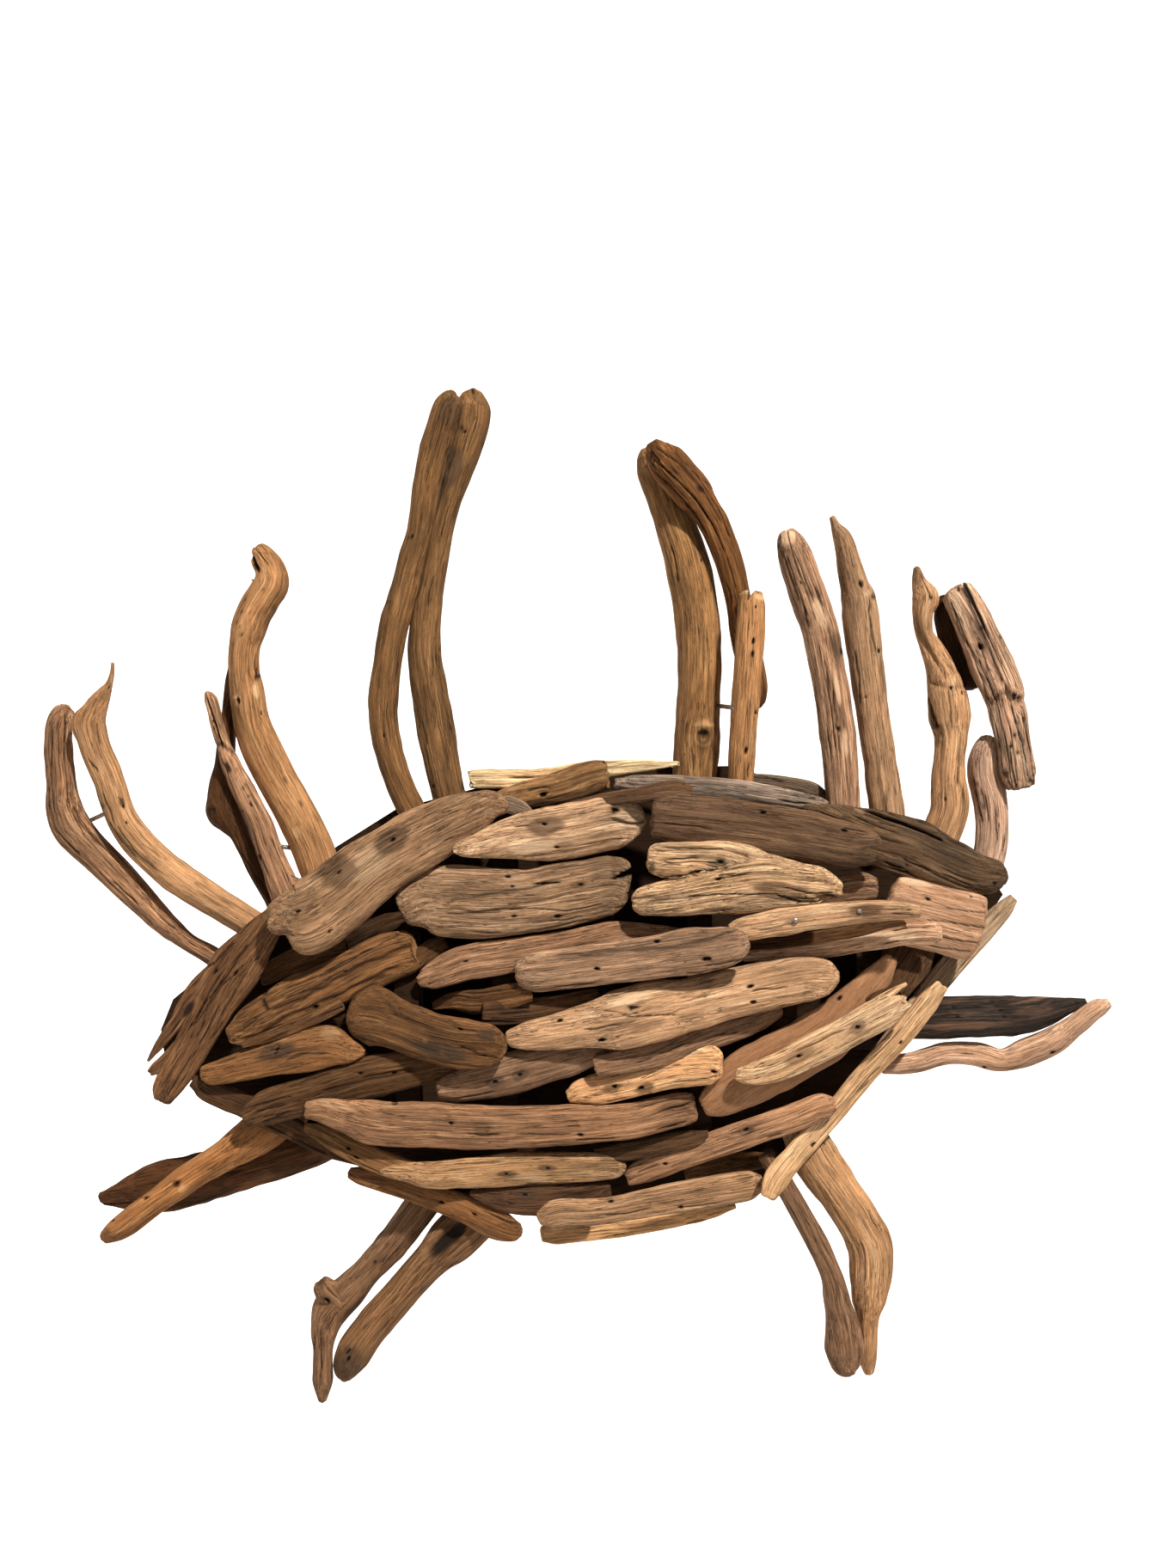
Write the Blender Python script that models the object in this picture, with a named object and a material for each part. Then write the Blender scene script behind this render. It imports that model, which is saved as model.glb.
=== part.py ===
"""A crab made of weathered driftwood sticks and planks, nailed to a flat panel that hangs on a wall.

The panel's back lies on the plane y = 0 and the crab faces -Y. The origin is on the panel's back face.
Each stick is a loft along a route. Routes are held as the eye sees them from straight in front: the
function seen_at carries a point to its true place, nearer the middle for what stands further off the wall.
The pieces are laid from the wall outwards: each one comes to rest on those already laid, so a change of
thickness anywhere moves all that lies above it.
"""

import math

import bpy
import bmesh
import numpy as np

# Sizes in metres.
CRAB_WIDTH = 0.81
VIEW_DISTANCE = 1.4
PANEL_THICKNESS = 0.008
RIB_WIDTH = 0.018
RIB_HEIGHT = 0.042
RIB_END_HEIGHT = 0.020
CONTACT_GAP = 0.0003
THINNEST_STICK = 0.004
LIMB_BOW = 0.005

# The view that the routes are given in, in pixels: the crab's left and right tips, the point that the
# eye looks at squarely, and the point that lies over the mount.
LEFT_TIP = 50
RIGHT_TIP = 1295
EYE_POINT = (684, 912)
MOUNT_POINT = (684, 1150)
PIXEL = CRAB_WIDTH / (RIGHT_TIP - LEFT_TIP)

# How a stick's cross-section is made: corners round it, thickness as a share of its width, and how
# square its sides are (2 is an ellipse).
CORNERS = 8
ROUND = (0.85, 2.0)
HALF_ROUND = (0.60, 2.3)
FLAT = (0.40, 2.7)
LATH = (0.34, 3.2)
# A narrower place along a stick is thinner too, by this power of its share of the full width.
THINNING = 0.6

# How far a piece may lean from the wall, as rise over run: along its length and across it.
LIMB_LEAN = (0.035, 0.02)
SHELL_LEAN = (0.14, 0.12)
LEAN_STEPS = 21
LAYING_PASSES = 2

# Colours as sRGB bytes.
TAN = (186, 141, 96)
PALE_TAN = (203, 163, 116)
ORANGE = (205, 146, 88)
BROWN = (139, 98, 64)
GREY_BROWN = (128, 107, 84)
PINK_TAN = (190, 143, 112)
DARK = (84, 60, 40)
CHARCOAL = (48, 42, 40)
PANEL_COLOUR = (56, 40, 28)
ROUGHNESS = 0.82

PANEL_OUTLINE = [
    (196, 1240), (190, 1196), (204, 1161), (262, 1113), (392, 985), (462, 941), (600, 905), (700, 894),
    (850, 891), (960, 925), (1060, 960), (1140, 1002), (1164, 1040), (1120, 1103), (1050, 1190),
    (890, 1376), (760, 1400), (640, 1408), (600, 1402), (450, 1360), (330, 1306), (236, 1260),
]

# Upright ribs on the panel, hidden under the shell: across, and down at the top and bottom end.
RIBS = [
    (398, 1104, 1250), (480, 1060, 1290), (590, 985, 1345), (700, 975, 1350), (810, 985, 1340),
    (905, 1015, 1270), (1000, 1050, 1215),
]
RIB_STEPS = 6

# Limbs, those nearest the wall first: name, colour, section and route from root to tip. A route's
# stations are (across, down, width) in the view.
LIMBS = [
    ("left_leg_back", DARK, HALF_ROUND, [
        (410, 1312, 40), (350, 1338, 50), (300, 1352, 52), (250, 1366, 58), (205, 1378, 60),
        (178, 1383, 54), (140, 1392, 32), (114, 1396, 16)]),
    ("left_leg_front", ORANGE, ROUND, [
        (352, 1284, 40), (300, 1318, 50), (262, 1343, 36), (230, 1362, 33), (195, 1387, 31),
        (165, 1409, 31), (138, 1429, 29), (119, 1441, 16)]),
    ("left_foot_outer", BROWN, ROUND, [
        (514, 1370, 40), (483, 1412, 40), (456, 1447, 38), (430, 1476, 36), (405, 1503, 42),
        (386, 1522, 46), (377, 1547, 34), (375, 1575, 25), (375, 1602, 27), (375, 1632, 11)]),
    ("left_foot_inner", TAN, ROUND, [
        (566, 1402, 56), (532, 1435, 56), (500, 1466, 46), (470, 1500, 42), (440, 1535, 44),
        (415, 1570, 44), (403, 1592, 34), (399, 1609, 14)]),
    ("right_foot_outer", ORANGE, ROUND, [
        (926, 1300, 44), (948, 1345, 54), (975, 1385, 54), (998, 1420, 52), (1011, 1448, 56),
        (1013, 1487, 52), (1011, 1515, 42), (1010, 1535, 29), (1010, 1575, 25), (1011, 1602, 12)]),
    ("right_foot_inner", GREY_BROWN, ROUND, [
        (890, 1340, 24), (925, 1400, 27), (941, 1430, 27), (958, 1463, 28), (969, 1490, 30),
        (974, 1515, 34), (980, 1540, 41), (983, 1567, 47), (984, 1586, 37), (987, 1600, 17)]),
    ("right_leg_dark", CHARCOAL, HALF_ROUND, [
        (1052, 1188, 44), (1100, 1184, 50), (1150, 1182, 50), (1200, 1180, 42), (1240, 1172, 25),
        (1268, 1165, 9)]),
    ("right_leg_light", PINK_TAN, ROUND, [
        (1024, 1240, 20), (1065, 1236, 26), (1100, 1226, 29), (1135, 1227, 31), (1165, 1234, 28),
        (1195, 1224, 34), (1225, 1211, 33), (1250, 1192, 24), (1275, 1172, 21), (1289, 1165, 11)]),
    ("right_arm_bridge", DARK, HALF_ROUND, [
        (1096, 691, 18), (1105, 716, 38), (1115, 750, 44), (1126, 783, 38), (1132, 804, 16)]),
    ("right_arm_inner", TAN, ROUND, [
        (1086, 1008, 36), (1093, 975, 44), (1104, 940, 46), (1103, 905, 40), (1104, 880, 38),
        (1106, 860, 38), (1104, 832, 49), (1100, 803, 44), (1092, 773, 33), (1083, 752, 26),
        (1076, 736, 22), (1074, 710, 25), (1077, 696, 31), (1070, 675, 17), (1067, 658, 8)]),
    ("right_arm_outer", PINK_TAN, ROUND, [
        (1146, 1018, 34), (1153, 985, 38), (1155, 955, 39), (1152, 925, 40), (1145, 897, 39),
        (1146, 874, 33), (1151, 854, 17)]),
    ("right_arm_split", GREY_BROWN, HALF_ROUND, [
        (1110, 682, 37), (1119, 696, 43), (1140, 740, 48), (1158, 784, 51), (1166, 802, 49),
        (1170, 819, 45), (1178, 860, 44), (1185, 898, 44), (1190, 918, 34)]),
    ("right_claw_outer", TAN, ROUND, [
        (1033, 975, 40), (1028, 930, 41), (1023, 890, 40), (1017, 845, 39), (1011, 800, 40),
        (1005, 752, 41), (1001, 718, 41), (999, 697, 39), (994, 680, 34), (989, 660, 30), (979, 623, 22),
        (972, 610, 12), (968, 599, 8)]),
    ("right_claw_inner", GREY_BROWN, ROUND, [
        (981, 955, 38), (979, 915, 41), (976, 870, 43), (967, 795, 43), (961, 762, 45), (955, 732, 45),
        (944, 700, 45), (935, 675, 44), (927, 652, 42), (919, 628, 33), (917, 614, 17)]),
    ("right_horn_wide", BROWN, ROUND, [
        (806, 930, 46), (809, 880, 54), (811, 820, 51), (813, 770, 51), (809, 702, 53), (796, 640, 52),
        (782, 600, 50), (764, 550, 47), (750, 518, 24)]),
    ("right_horn_grooved", BROWN, ROUND, [
        (879, 827, 14), (878, 815, 29), (877, 798, 34), (866, 740, 33), (858, 690, 33), (842, 636, 34),
        (824, 598, 35), (805, 573, 44), (777, 541, 44), (763, 524, 31), (758, 515, 15)]),
    ("right_horn_front", ORANGE, ROUND, [
        (860, 945, 30), (862, 905, 33), (864, 860, 34), (867, 810, 35), (871, 750, 35),
        (873, 710, 34), (873, 686, 29)]),
    ("left_horn_back", TAN, ROUND, [
        (532, 960, 42), (520, 915, 42), (508, 860, 44), (500, 810, 44), (494, 760, 43), (497, 715, 36),
        (504, 670, 31), (515, 605, 31), (541, 520, 38), (552, 478, 36), (551, 461, 25), (549, 450, 14)]),
    ("left_horn_front", GREY_BROWN, ROUND, [
        (487, 958, 34), (467, 918, 32), (453, 877, 34), (446, 835, 36), (449, 780, 35), (456, 735, 36),
        (465, 700, 35), (474, 665, 31), (487, 622, 31), (498, 556, 33), (505, 525, 35), (512, 500, 34),
        (519, 475, 30), (529, 457, 14)]),
    ("left_claw_outer", DARK, ROUND, [
        (334, 1085, 26), (320, 1047, 26), (301, 1014, 25), (284, 979, 23), (278, 966, 27),
        (270, 955, 36), (262, 943, 46), (260, 929, 41), (259, 913, 31), (261, 893, 24), (264, 855, 20),
        (267, 808, 17), (268, 764, 7)]),
    ("left_claw_middle", PINK_TAN, ROUND, [
        (345, 1072, 36), (328, 1027, 36), (309, 980, 34), (302, 960, 33), (287, 930, 30), (273, 900, 27),
        (266, 882, 24), (260, 866, 18), (252, 840, 17), (246, 816, 16), (241, 803, 9)]),
    ("left_claw_inner", ORANGE, ROUND, [
        (378, 1030, 44), (365, 988, 47), (347, 950, 49), (319, 900, 48), (304, 870, 47), (295, 848, 44),
        (287, 805, 41), (283, 775, 37), (284, 753, 37), (289, 732, 42), (296, 712, 44), (307, 693, 44),
        (315, 679, 45), (314, 663, 40), (306, 650, 35), (299, 642, 29), (292, 638, 14)]),
    ("left_arm_outer", GREY_BROWN, ROUND, [
        (285, 1138, 26), (245, 1110, 25), (222, 1097, 24), (198, 1078, 31), (165, 1045, 38),
        (119, 1000, 44), (97, 979, 47), (80, 957, 50), (73, 935, 44), (71, 912, 37), (67, 870, 34),
        (68, 838, 31), (73, 825, 23), (76, 818, 14)]),
    ("left_arm_inner", ORANGE, ROUND, [
        (322, 1092, 34), (290, 1072, 36), (240, 1042, 37), (190, 1008, 40), (143, 955, 40),
        (125, 905, 39), (107, 860, 38), (104, 841, 39), (111, 823, 31), (120, 807, 21), (127, 794, 11),
        (130, 782, 8), (131, 768, 6)]),
]

# Rim laths and shell planks, in the order in which they are nailed on.
SHELL = [
    ("rim_lower_left", DARK, LATH, [
        (226, 1254, 14), (245, 1266, 28), (280, 1282, 30), (320, 1303, 30), (360, 1325, 28),
        (400, 1345, 22), (430, 1359, 12)]),
    ("rim_right_back", PALE_TAN, LATH, [
        (1185, 1044, 12), (1166, 1063, 25), (1130, 1098, 30), (1090, 1142, 28), (1050, 1190, 26),
        (1012, 1236, 22)]),
    ("rim_bottom", TAN, LATH, [
        (404, 1364, 12), (420, 1368, 22), (460, 1377, 30), (500, 1391, 32), (540, 1406, 34),
        (575, 1423, 38), (598, 1431, 29), (609, 1431, 13)]),
    ("rim_left_front", BROWN, LATH, [
        (352, 1309, 10), (370, 1316, 20), (400, 1332, 28), (430, 1346, 30), (465, 1360, 30),
        (500, 1373, 24)]),
    ("shell_top_light", PALE_TAN, LATH, [
        (543, 907, 22), (560, 906, 25), (620, 906, 25), (680, 898, 24), (735, 892, 16), (791, 888, 6)]),
    ("shell_top_brown", BROWN, FLAT, [
        (562, 932, 10), (590, 928, 26), (620, 923, 36), (660, 914, 40), (690, 904, 40), (709, 900, 34)]),
    ("shell_top_grey", GREY_BROWN, HALF_ROUND, [
        (713, 911, 12), (735, 913, 24), (790, 914, 27), (850, 918, 27), (900, 926, 26),
        (940, 932, 20), (963, 936, 7)]),
    ("shell_right_dark", DARK, FLAT, [
        (932, 938, 7), (952, 946, 25), (985, 960, 50), (1020, 974, 68), (1060, 986, 70),
        (1100, 1003, 60), (1140, 1018, 50), (1163, 1021, 40), (1177, 1023, 18)]),
    ("shell_inner_right", ORANGE, FLAT, [
        (816, 1290, 24), (835, 1280, 46), (870, 1255, 66), (910, 1234, 68), (945, 1214, 68),
        (975, 1190, 60), (1000, 1160, 45), (1020, 1136, 34), (1037, 1111, 15)]),
    ("shell_left_edge", BROWN, FLAT, [
        (332, 1056, 26), (302, 1093, 44), (275, 1128, 60), (255, 1158, 56), (240, 1188, 46),
        (213, 1235, 42), (200, 1255, 38), (190, 1272, 33), (186, 1286, 20)]),
    ("shell_left_ridged", BROWN, FLAT, [
        (265, 1205, 18), (282, 1198, 38), (305, 1185, 50), (340, 1167, 60), (380, 1149, 57),
        (415, 1132, 58), (450, 1115, 58), (478, 1108, 50), (487, 1106, 40)]),
    ("shell_left_wide", TAN, FLAT, [
        (466, 1062, 30), (490, 1050, 66), (520, 1048, 82), (560, 1050, 84), (620, 1047, 76),
        (680, 1036, 72), (715, 1030, 68), (733, 1034, 50)]),
    ("shell_low_left", BROWN, FLAT, [
        (282, 1302, 20), (315, 1287, 44), (360, 1274, 48), (420, 1256, 52), (480, 1243, 48),
        (532, 1232, 34)]),
    ("shell_left_point", TAN, FLAT, [
        (232, 1248, 16), (245, 1248, 28), (280, 1240, 36), (320, 1230, 44), (355, 1221, 54),
        (385, 1218, 50), (405, 1222, 34), (426, 1225, 10)]),
    ("shell_middle_low", TAN, FLAT, [
        (484, 1142, 14), (505, 1134, 34), (540, 1121, 42), (580, 1114, 44), (620, 1108, 42),
        (670, 1099, 38), (720, 1088, 34), (770, 1088, 24), (801, 1086, 12)]),
    ("shell_right_block", ORANGE, FLAT, [
        (1026, 1051, 54), (1032, 1053, 70), (1045, 1057, 77), (1080, 1066, 79), (1115, 1075, 79),
        (1138, 1081, 75), (1146, 1083, 60)]),
    ("shell_upper_right", BROWN, FLAT, [
        (757, 950, 50), (800, 955, 60), (850, 960, 63), (900, 967, 63), (950, 976, 62),
        (985, 983, 54), (1008, 985, 46), (1024, 985, 26)]),
    ("shell_upper_left", TAN, FLAT, [
        (314, 1078, 20), (330, 1069, 50), (358, 1065, 90), (392, 1044, 84), (430, 1013, 80),
        (490, 975, 73), (540, 950, 58), (575, 937, 35), (592, 940, 14)]),
    ("shell_fish", TAN, FLAT, [
        (526, 989, 10), (545, 985, 26), (585, 976, 46), (635, 970, 64), (680, 963, 66),
        (715, 956, 64), (738, 956, 46), (753, 958, 20)]),
    ("shell_right_low_stick", GREY_BROWN, HALF_ROUND, [
        (864, 1114, 14), (920, 1110, 17), (970, 1104, 20), (1010, 1096, 23), (1050, 1087, 27),
        (1080, 1085, 28), (1095, 1086, 17)]),
    ("shell_two_lobed", PALE_TAN, FLAT, [
        (751, 998, 28), (760, 999, 36), (775, 1001, 43), (795, 1007, 56), (820, 1016, 72), (850, 1022, 80),
        (880, 1025, 72), (920, 1028, 57), (955, 1030, 42), (978, 1033, 18)]),
    ("shell_right_stick", TAN, HALF_ROUND, [
        (848, 1085, 18), (860, 1083, 30), (876, 1080, 33), (900, 1075, 34), (950, 1066, 31), (1000, 1060, 29),
        (1045, 1058, 23), (1070, 1060, 14)]),
    ("shell_middle_split", TAN, FLAT, [
        (597, 1135, 26), (618, 1133, 46), (660, 1128, 49), (700, 1122, 47), (760, 1113, 52),
        (800, 1106, 58), (840, 1100, 52), (860, 1095, 38), (871, 1092, 18)]),
    ("shell_under_middle", BROWN, FLAT, [
        (506, 1268, 22), (540, 1262, 40), (600, 1247, 50), (650, 1233, 46), (700, 1220, 28),
        (735, 1211, 10)]),
    ("shell_long", TAN, FLAT, [
        (587, 1210, 18), (610, 1206, 32), (650, 1200, 44), (690, 1192, 58), (725, 1185, 70),
        (765, 1175, 72), (800, 1168, 62), (850, 1155, 58), (900, 1144, 57), (940, 1137, 54),
        (965, 1137, 38), (977, 1138, 17)]),
    ("shell_lower_stick", TAN, LATH, [
        (545, 1384, 8), (570, 1390, 24), (600, 1393, 38), (630, 1394, 42), (680, 1391, 34),
        (712, 1386, 18)]),
    ("shell_wide_low", TAN, FLAT, [
        (355, 1288, 20), (378, 1290, 31), (400, 1296, 40), (440, 1305, 55), (500, 1308, 55),
        (560, 1312, 54), (620, 1312, 50), (690, 1309, 47), (740, 1305, 45), (790, 1293, 44),
        (812, 1289, 34)]),
    ("shell_short", PALE_TAN, FLAT, [
        (658, 1278, 14), (675, 1271, 28), (700, 1266, 37), (740, 1256, 40), (770, 1245, 47),
        (800, 1239, 52), (825, 1237, 50), (842, 1238, 26)]),
    ("shell_bottom_edge", BROWN, LATH, [
        (627, 1436, 18), (650, 1432, 32), (700, 1427, 31), (760, 1419, 29), (810, 1411, 24),
        (858, 1403, 6)]),
    ("shell_bottom", TAN, FLAT, [
        (626, 1415, 16), (645, 1408, 34), (690, 1407, 32), (740, 1401, 34), (790, 1394, 38),
        (840, 1387, 40), (872, 1383, 38), (890, 1380, 20)]),
    ("rim_right_front", PALE_TAN, LATH, [
        (1096, 1144, 16), (1076, 1168, 27), (1046, 1206, 28), (1007, 1249, 28), (968, 1297, 27),
        (928, 1342, 29), (905, 1371, 31), (893, 1396, 18)]),
    ("shell_right_splintered", PALE_TAN, FLAT, [
        (853, 1249, 14), (868, 1250, 25), (900, 1243, 33), (940, 1224, 38), (980, 1204, 38),
        (1020, 1182, 39), (1045, 1170, 32), (1060, 1163, 17)]),
    ("shell_lower_right", PINK_TAN, FLAT, [
        (727, 1376, 16), (742, 1368, 29), (775, 1353, 36), (820, 1336, 35), (870, 1317, 34),
        (920, 1299, 34), (955, 1284, 32), (970, 1280, 17)]),
    ("shell_low_middle", PALE_TAN, FLAT, [
        (443, 1358, 8), (470, 1359, 20), (500, 1364, 31), (550, 1363, 36), (600, 1360, 38),
        (660, 1360, 36), (700, 1360, 32), (720, 1360, 27), (731, 1359, 11)]),
    ("shell_bone", TAN, FLAT, [
        (402, 1178, 24), (415, 1181, 52), (435, 1183, 68), (465, 1193, 58), (500, 1206, 58),
        (535, 1214, 60), (565, 1216, 55), (583, 1217, 38), (592, 1217, 15)]),
]

# Splinters that branch off a plank: routes like the others, fused with the plank.
PRONGS = {
    "left_foot_outer": [
        [(402, 1520, 30), (383, 1503, 34), (370, 1488, 20)],
    ],
    "shell_left_edge": [
        [(262, 1122, 26), (240, 1142, 27), (222, 1163, 24), (207, 1186, 20), (175, 1228, 10), (168, 1238, 5)],
        [(234, 1196, 16), (212, 1213, 18), (195, 1231, 19), (180, 1244, 17), (170, 1252, 9)],
    ],
    "shell_right_splintered": [
        [(1000, 1181, 18), (1022, 1164, 13), (1056, 1143, 5)],
    ],
    "shell_two_lobed": [
        [(840, 1040, 44), (810, 1044, 46), (785, 1046, 44), (762, 1048, 40), (744, 1050, 34),
            (734, 1051, 18)],
    ],
}

# Splits that run in from an end or an edge: (mouth across, mouth down, apex across, apex down, width).
SPLITS = {
    "right_arm_split": (1117, 671, 1174, 805, 5),
    "shell_upper_right": (1034, 991, 997, 986, 17),
    "shell_left_wide": (742, 1011, 712, 1022, 12),
    "right_horn_front": (880, 672, 868, 700, 16),
}


def linear(colour):
    """A colour in sRGB bytes as the linear values that a shader takes."""
    values = []
    for byte in colour:
        share = byte / 255
        low = share <= 0.04045
        values.append(share / 12.92 if low else ((share + 0.055) / 1.055) ** 2.4)
    return (*values, 1.0)


def seen_at(across, down, height):
    """The true x and z, from the mount, of a point seen at a pixel that stands this high off the wall."""
    nearer = 1 - height / VIEW_DISTANCE
    x = (across - EYE_POINT[0]) * nearer + EYE_POINT[0] - MOUNT_POINT[0]
    z = (EYE_POINT[1] - down) * nearer + MOUNT_POINT[1] - EYE_POINT[1]
    return x * PIXEL, z * PIXEL


def smooth_headings(spots):
    """The unit direction of a route at each of its stations."""
    ahead = np.diff(spots, axis=0)
    length = np.linalg.norm(ahead, axis=1, keepdims=True)
    heading = np.empty_like(spots)
    heading[0] = ahead[0] / length[0]
    heading[-1] = ahead[-1] / length[-1]
    heading[1:-1] = ahead[:-1] / length[:-1] ** 2 + ahead[1:] / length[1:] ** 2
    return heading / np.linalg.norm(heading, axis=1, keepdims=True)


def section_corners(squareness):
    """The corners of a cross-section as shares of half its width and half its thickness."""
    corners = []
    for step in range(CORNERS):
        angle = 2 * math.pi * step / CORNERS
        shares = []
        for reach in (math.cos(angle), math.sin(angle)):
            shares.append(math.copysign(abs(reach) ** (2 / squareness), reach))
        corners.append(shares)
    return corners


def loft(route, section, height, bow=0.0):
    """Points and triangles of a closed stick whose route is seen at this height off the wall."""
    share, squareness = section
    spots = np.array([seen_at(across, down, height) for across, down, width in route])
    widths = np.array([width for across, down, width in route]) * PIXEL * (1 - height / VIEW_DISTANCE)
    heading = smooth_headings(spots)
    thickness = share * widths.max() * (widths / widths.max()) ** THINNING
    thickness = np.maximum(thickness, np.minimum(THINNEST_STICK, widths))
    run = np.concatenate([[0], np.cumsum(np.linalg.norm(np.diff(spots, axis=0), axis=1))])
    points = []
    for spot, ahead, width, thick, along in zip(spots, heading, widths, thickness, run / run[-1]):
        lift = -bow * math.sin(math.pi * along)
        for across, out in section_corners(squareness):
            x = spot[0] - ahead[1] * across * width / 2
            z = spot[1] + ahead[0] * across * width / 2
            points.append((x, lift - out * thick / 2, z))
    triangles = []
    for ring in range(len(route) - 1):
        for corner in range(CORNERS):
            beside = (corner + 1) % CORNERS
            a = ring * CORNERS + corner
            b = ring * CORNERS + beside
            triangles.append((a, b, b + CORNERS))
            triangles.append((a, b + CORNERS, a + CORNERS))
    last = (len(route) - 1) * CORNERS
    for corner in range(1, CORNERS - 1):
        triangles.append((0, corner + 1, corner))
        triangles.append((last, last + corner, last + corner + 1))
    return np.array(points), np.array(triangles)


def points_and_triangles(mesh):
    """A closed bmesh as points and triangles that face out. It frees the bmesh."""
    bmesh.ops.recalc_face_normals(mesh, faces=mesh.faces)
    bmesh.ops.triangulate(mesh, faces=mesh.faces)
    mesh.verts.index_update()
    points = np.array([tuple(vert.co) for vert in mesh.verts])
    triangles = np.array([[vert.index for vert in face.verts] for face in mesh.faces])
    mesh.free()
    return points, triangles


def panel_solid():
    """Points and triangles of the flat back panel."""
    mesh = bmesh.new()
    rim = []
    for across, down in PANEL_OUTLINE:
        x, z = seen_at(across, down, 0)
        rim.append(mesh.verts.new((x, 0, z)))
    back = mesh.faces.new(rim)
    moved = bmesh.ops.extrude_face_region(mesh, geom=[back])["geom"]
    front = [item for item in moved if isinstance(item, bmesh.types.BMVert)]
    bmesh.ops.translate(mesh, vec=(0, -PANEL_THICKNESS, 0), verts=front)
    return points_and_triangles(mesh)


def rib_solid(across, top, bottom):
    """Points and triangles of one rib, arched along its front and let into the panel at its back."""
    x, high = seen_at(across, top, 0)
    x, low = seen_at(across, bottom, 0)
    profile = [(-PANEL_THICKNESS / 2, high), (-PANEL_THICKNESS / 2, low)]
    for step in range(RIB_STEPS + 1):
        share = step / RIB_STEPS
        rise = RIB_END_HEIGHT + (RIB_HEIGHT - RIB_END_HEIGHT) * math.sin(math.pi * share)
        profile.append((-PANEL_THICKNESS - rise, low + (high - low) * share))
    mesh = bmesh.new()
    side = mesh.faces.new([mesh.verts.new((x - RIB_WIDTH / 2, y, z)) for y, z in profile])
    moved = bmesh.ops.extrude_face_region(mesh, geom=[side])["geom"]
    far = [item for item in moved if isinstance(item, bmesh.types.BMVert)]
    bmesh.ops.translate(mesh, vec=(RIB_WIDTH, 0, 0), verts=far)
    return points_and_triangles(mesh)


def facing(points, triangles, side):
    """The triangles that look towards +Y (side 1) or -Y (side -1)."""
    a, b, c = (points[triangles[:, k]] for k in range(3))
    outward = np.cross(b - a, c - a)[:, 1] * side
    return triangles[outward > 1e-12]


def edges_of(triangles):
    """Each edge of these triangles once."""
    ends = np.concatenate([triangles[:, [0, 1]], triangles[:, [1, 2]], triangles[:, [2, 0]]])
    return np.unique(np.sort(ends, axis=1), axis=0)


def points_over(points, triangles, spots):
    """(index of spot, height y of the triangle there) for each spot that lies over a triangle."""
    a, b, c = (points[triangles[:, k]] for k in range(3))
    ab = b[:, [0, 2]] - a[:, [0, 2]]
    ac = c[:, [0, 2]] - a[:, [0, 2]]
    area = ab[:, 0] * ac[:, 1] - ab[:, 1] * ac[:, 0]
    offset = spots[:, None, :] - a[None, :, [0, 2]]
    v = (offset[..., 0] * ac[:, 1] - offset[..., 1] * ac[:, 0]) / area
    w = (ab[:, 0] * offset[..., 1] - ab[:, 1] * offset[..., 0]) / area
    index, triangle = np.nonzero((v >= 0) & (w >= 0) & (v + w <= 1))
    v = v[index, triangle]
    w = w[index, triangle]
    y = a[triangle, 1] + v * (b[triangle, 1] - a[triangle, 1]) + w * (c[triangle, 1] - a[triangle, 1])
    return index, y


def room_between(upper, lower):
    """Rows of (x, z, room): how far the upper piece could move towards the wall before it touches."""
    points, back = upper
    under, front = lower
    near = back_and_front_overlap(points, under)
    if not near:
        return np.empty((0, 3))
    rows = []
    used = np.unique(back)
    index, y = points_over(under, front, points[used][:, [0, 2]])
    spot = points[used][index]
    rows.append(np.column_stack([spot[:, 0], spot[:, 2], y - spot[:, 1]]))
    used = np.unique(front)
    index, y = points_over(points, back, under[used][:, [0, 2]])
    spot = under[used][index]
    rows.append(np.column_stack([spot[:, 0], spot[:, 2], spot[:, 1] - y]))
    rows.append(edge_crossings(points, edges_of(back), under, edges_of(front)))
    return np.concatenate(rows)


def back_and_front_overlap(points, under):
    """Whether two pieces' boxes overlap as seen from the front."""
    for axis in (0, 2):
        if points[:, axis].max() < under[:, axis].min() or points[:, axis].min() > under[:, axis].max():
            return False
    return True


def edge_crossings(points, edges, under, under_edges):
    """Rows of (x, z, room) where an edge of one piece crosses an edge of the other, seen from the front."""
    p = points[edges[:, 0]][:, None, :]
    r = points[edges[:, 1]][:, None, :] - p
    q = under[under_edges[:, 0]][None, :, :]
    s = under[under_edges[:, 1]][None, :, :] - q
    cross = r[..., 0] * s[..., 2] - r[..., 2] * s[..., 0]
    cross = np.where(np.abs(cross) < 1e-15, np.nan, cross)
    gap = q - p
    t = (gap[..., 0] * s[..., 2] - gap[..., 2] * s[..., 0]) / cross
    u = (gap[..., 0] * r[..., 2] - gap[..., 2] * r[..., 0]) / cross
    with np.errstate(invalid="ignore"):
        first, second = np.nonzero((t >= 0) & (t <= 1) & (u >= 0) & (u <= 1))
    t = t[first, second]
    u = u[first, second]
    p = p[first, 0]
    r = r[first, 0]
    q = q[0, second]
    s = s[0, second]
    room = (q[:, 1] + u * s[:, 1]) - (p[:, 1] + t * r[:, 1])
    return np.column_stack([p[:, 0] + t * r[:, 0], p[:, 2] + t * r[:, 2], room])


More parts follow.
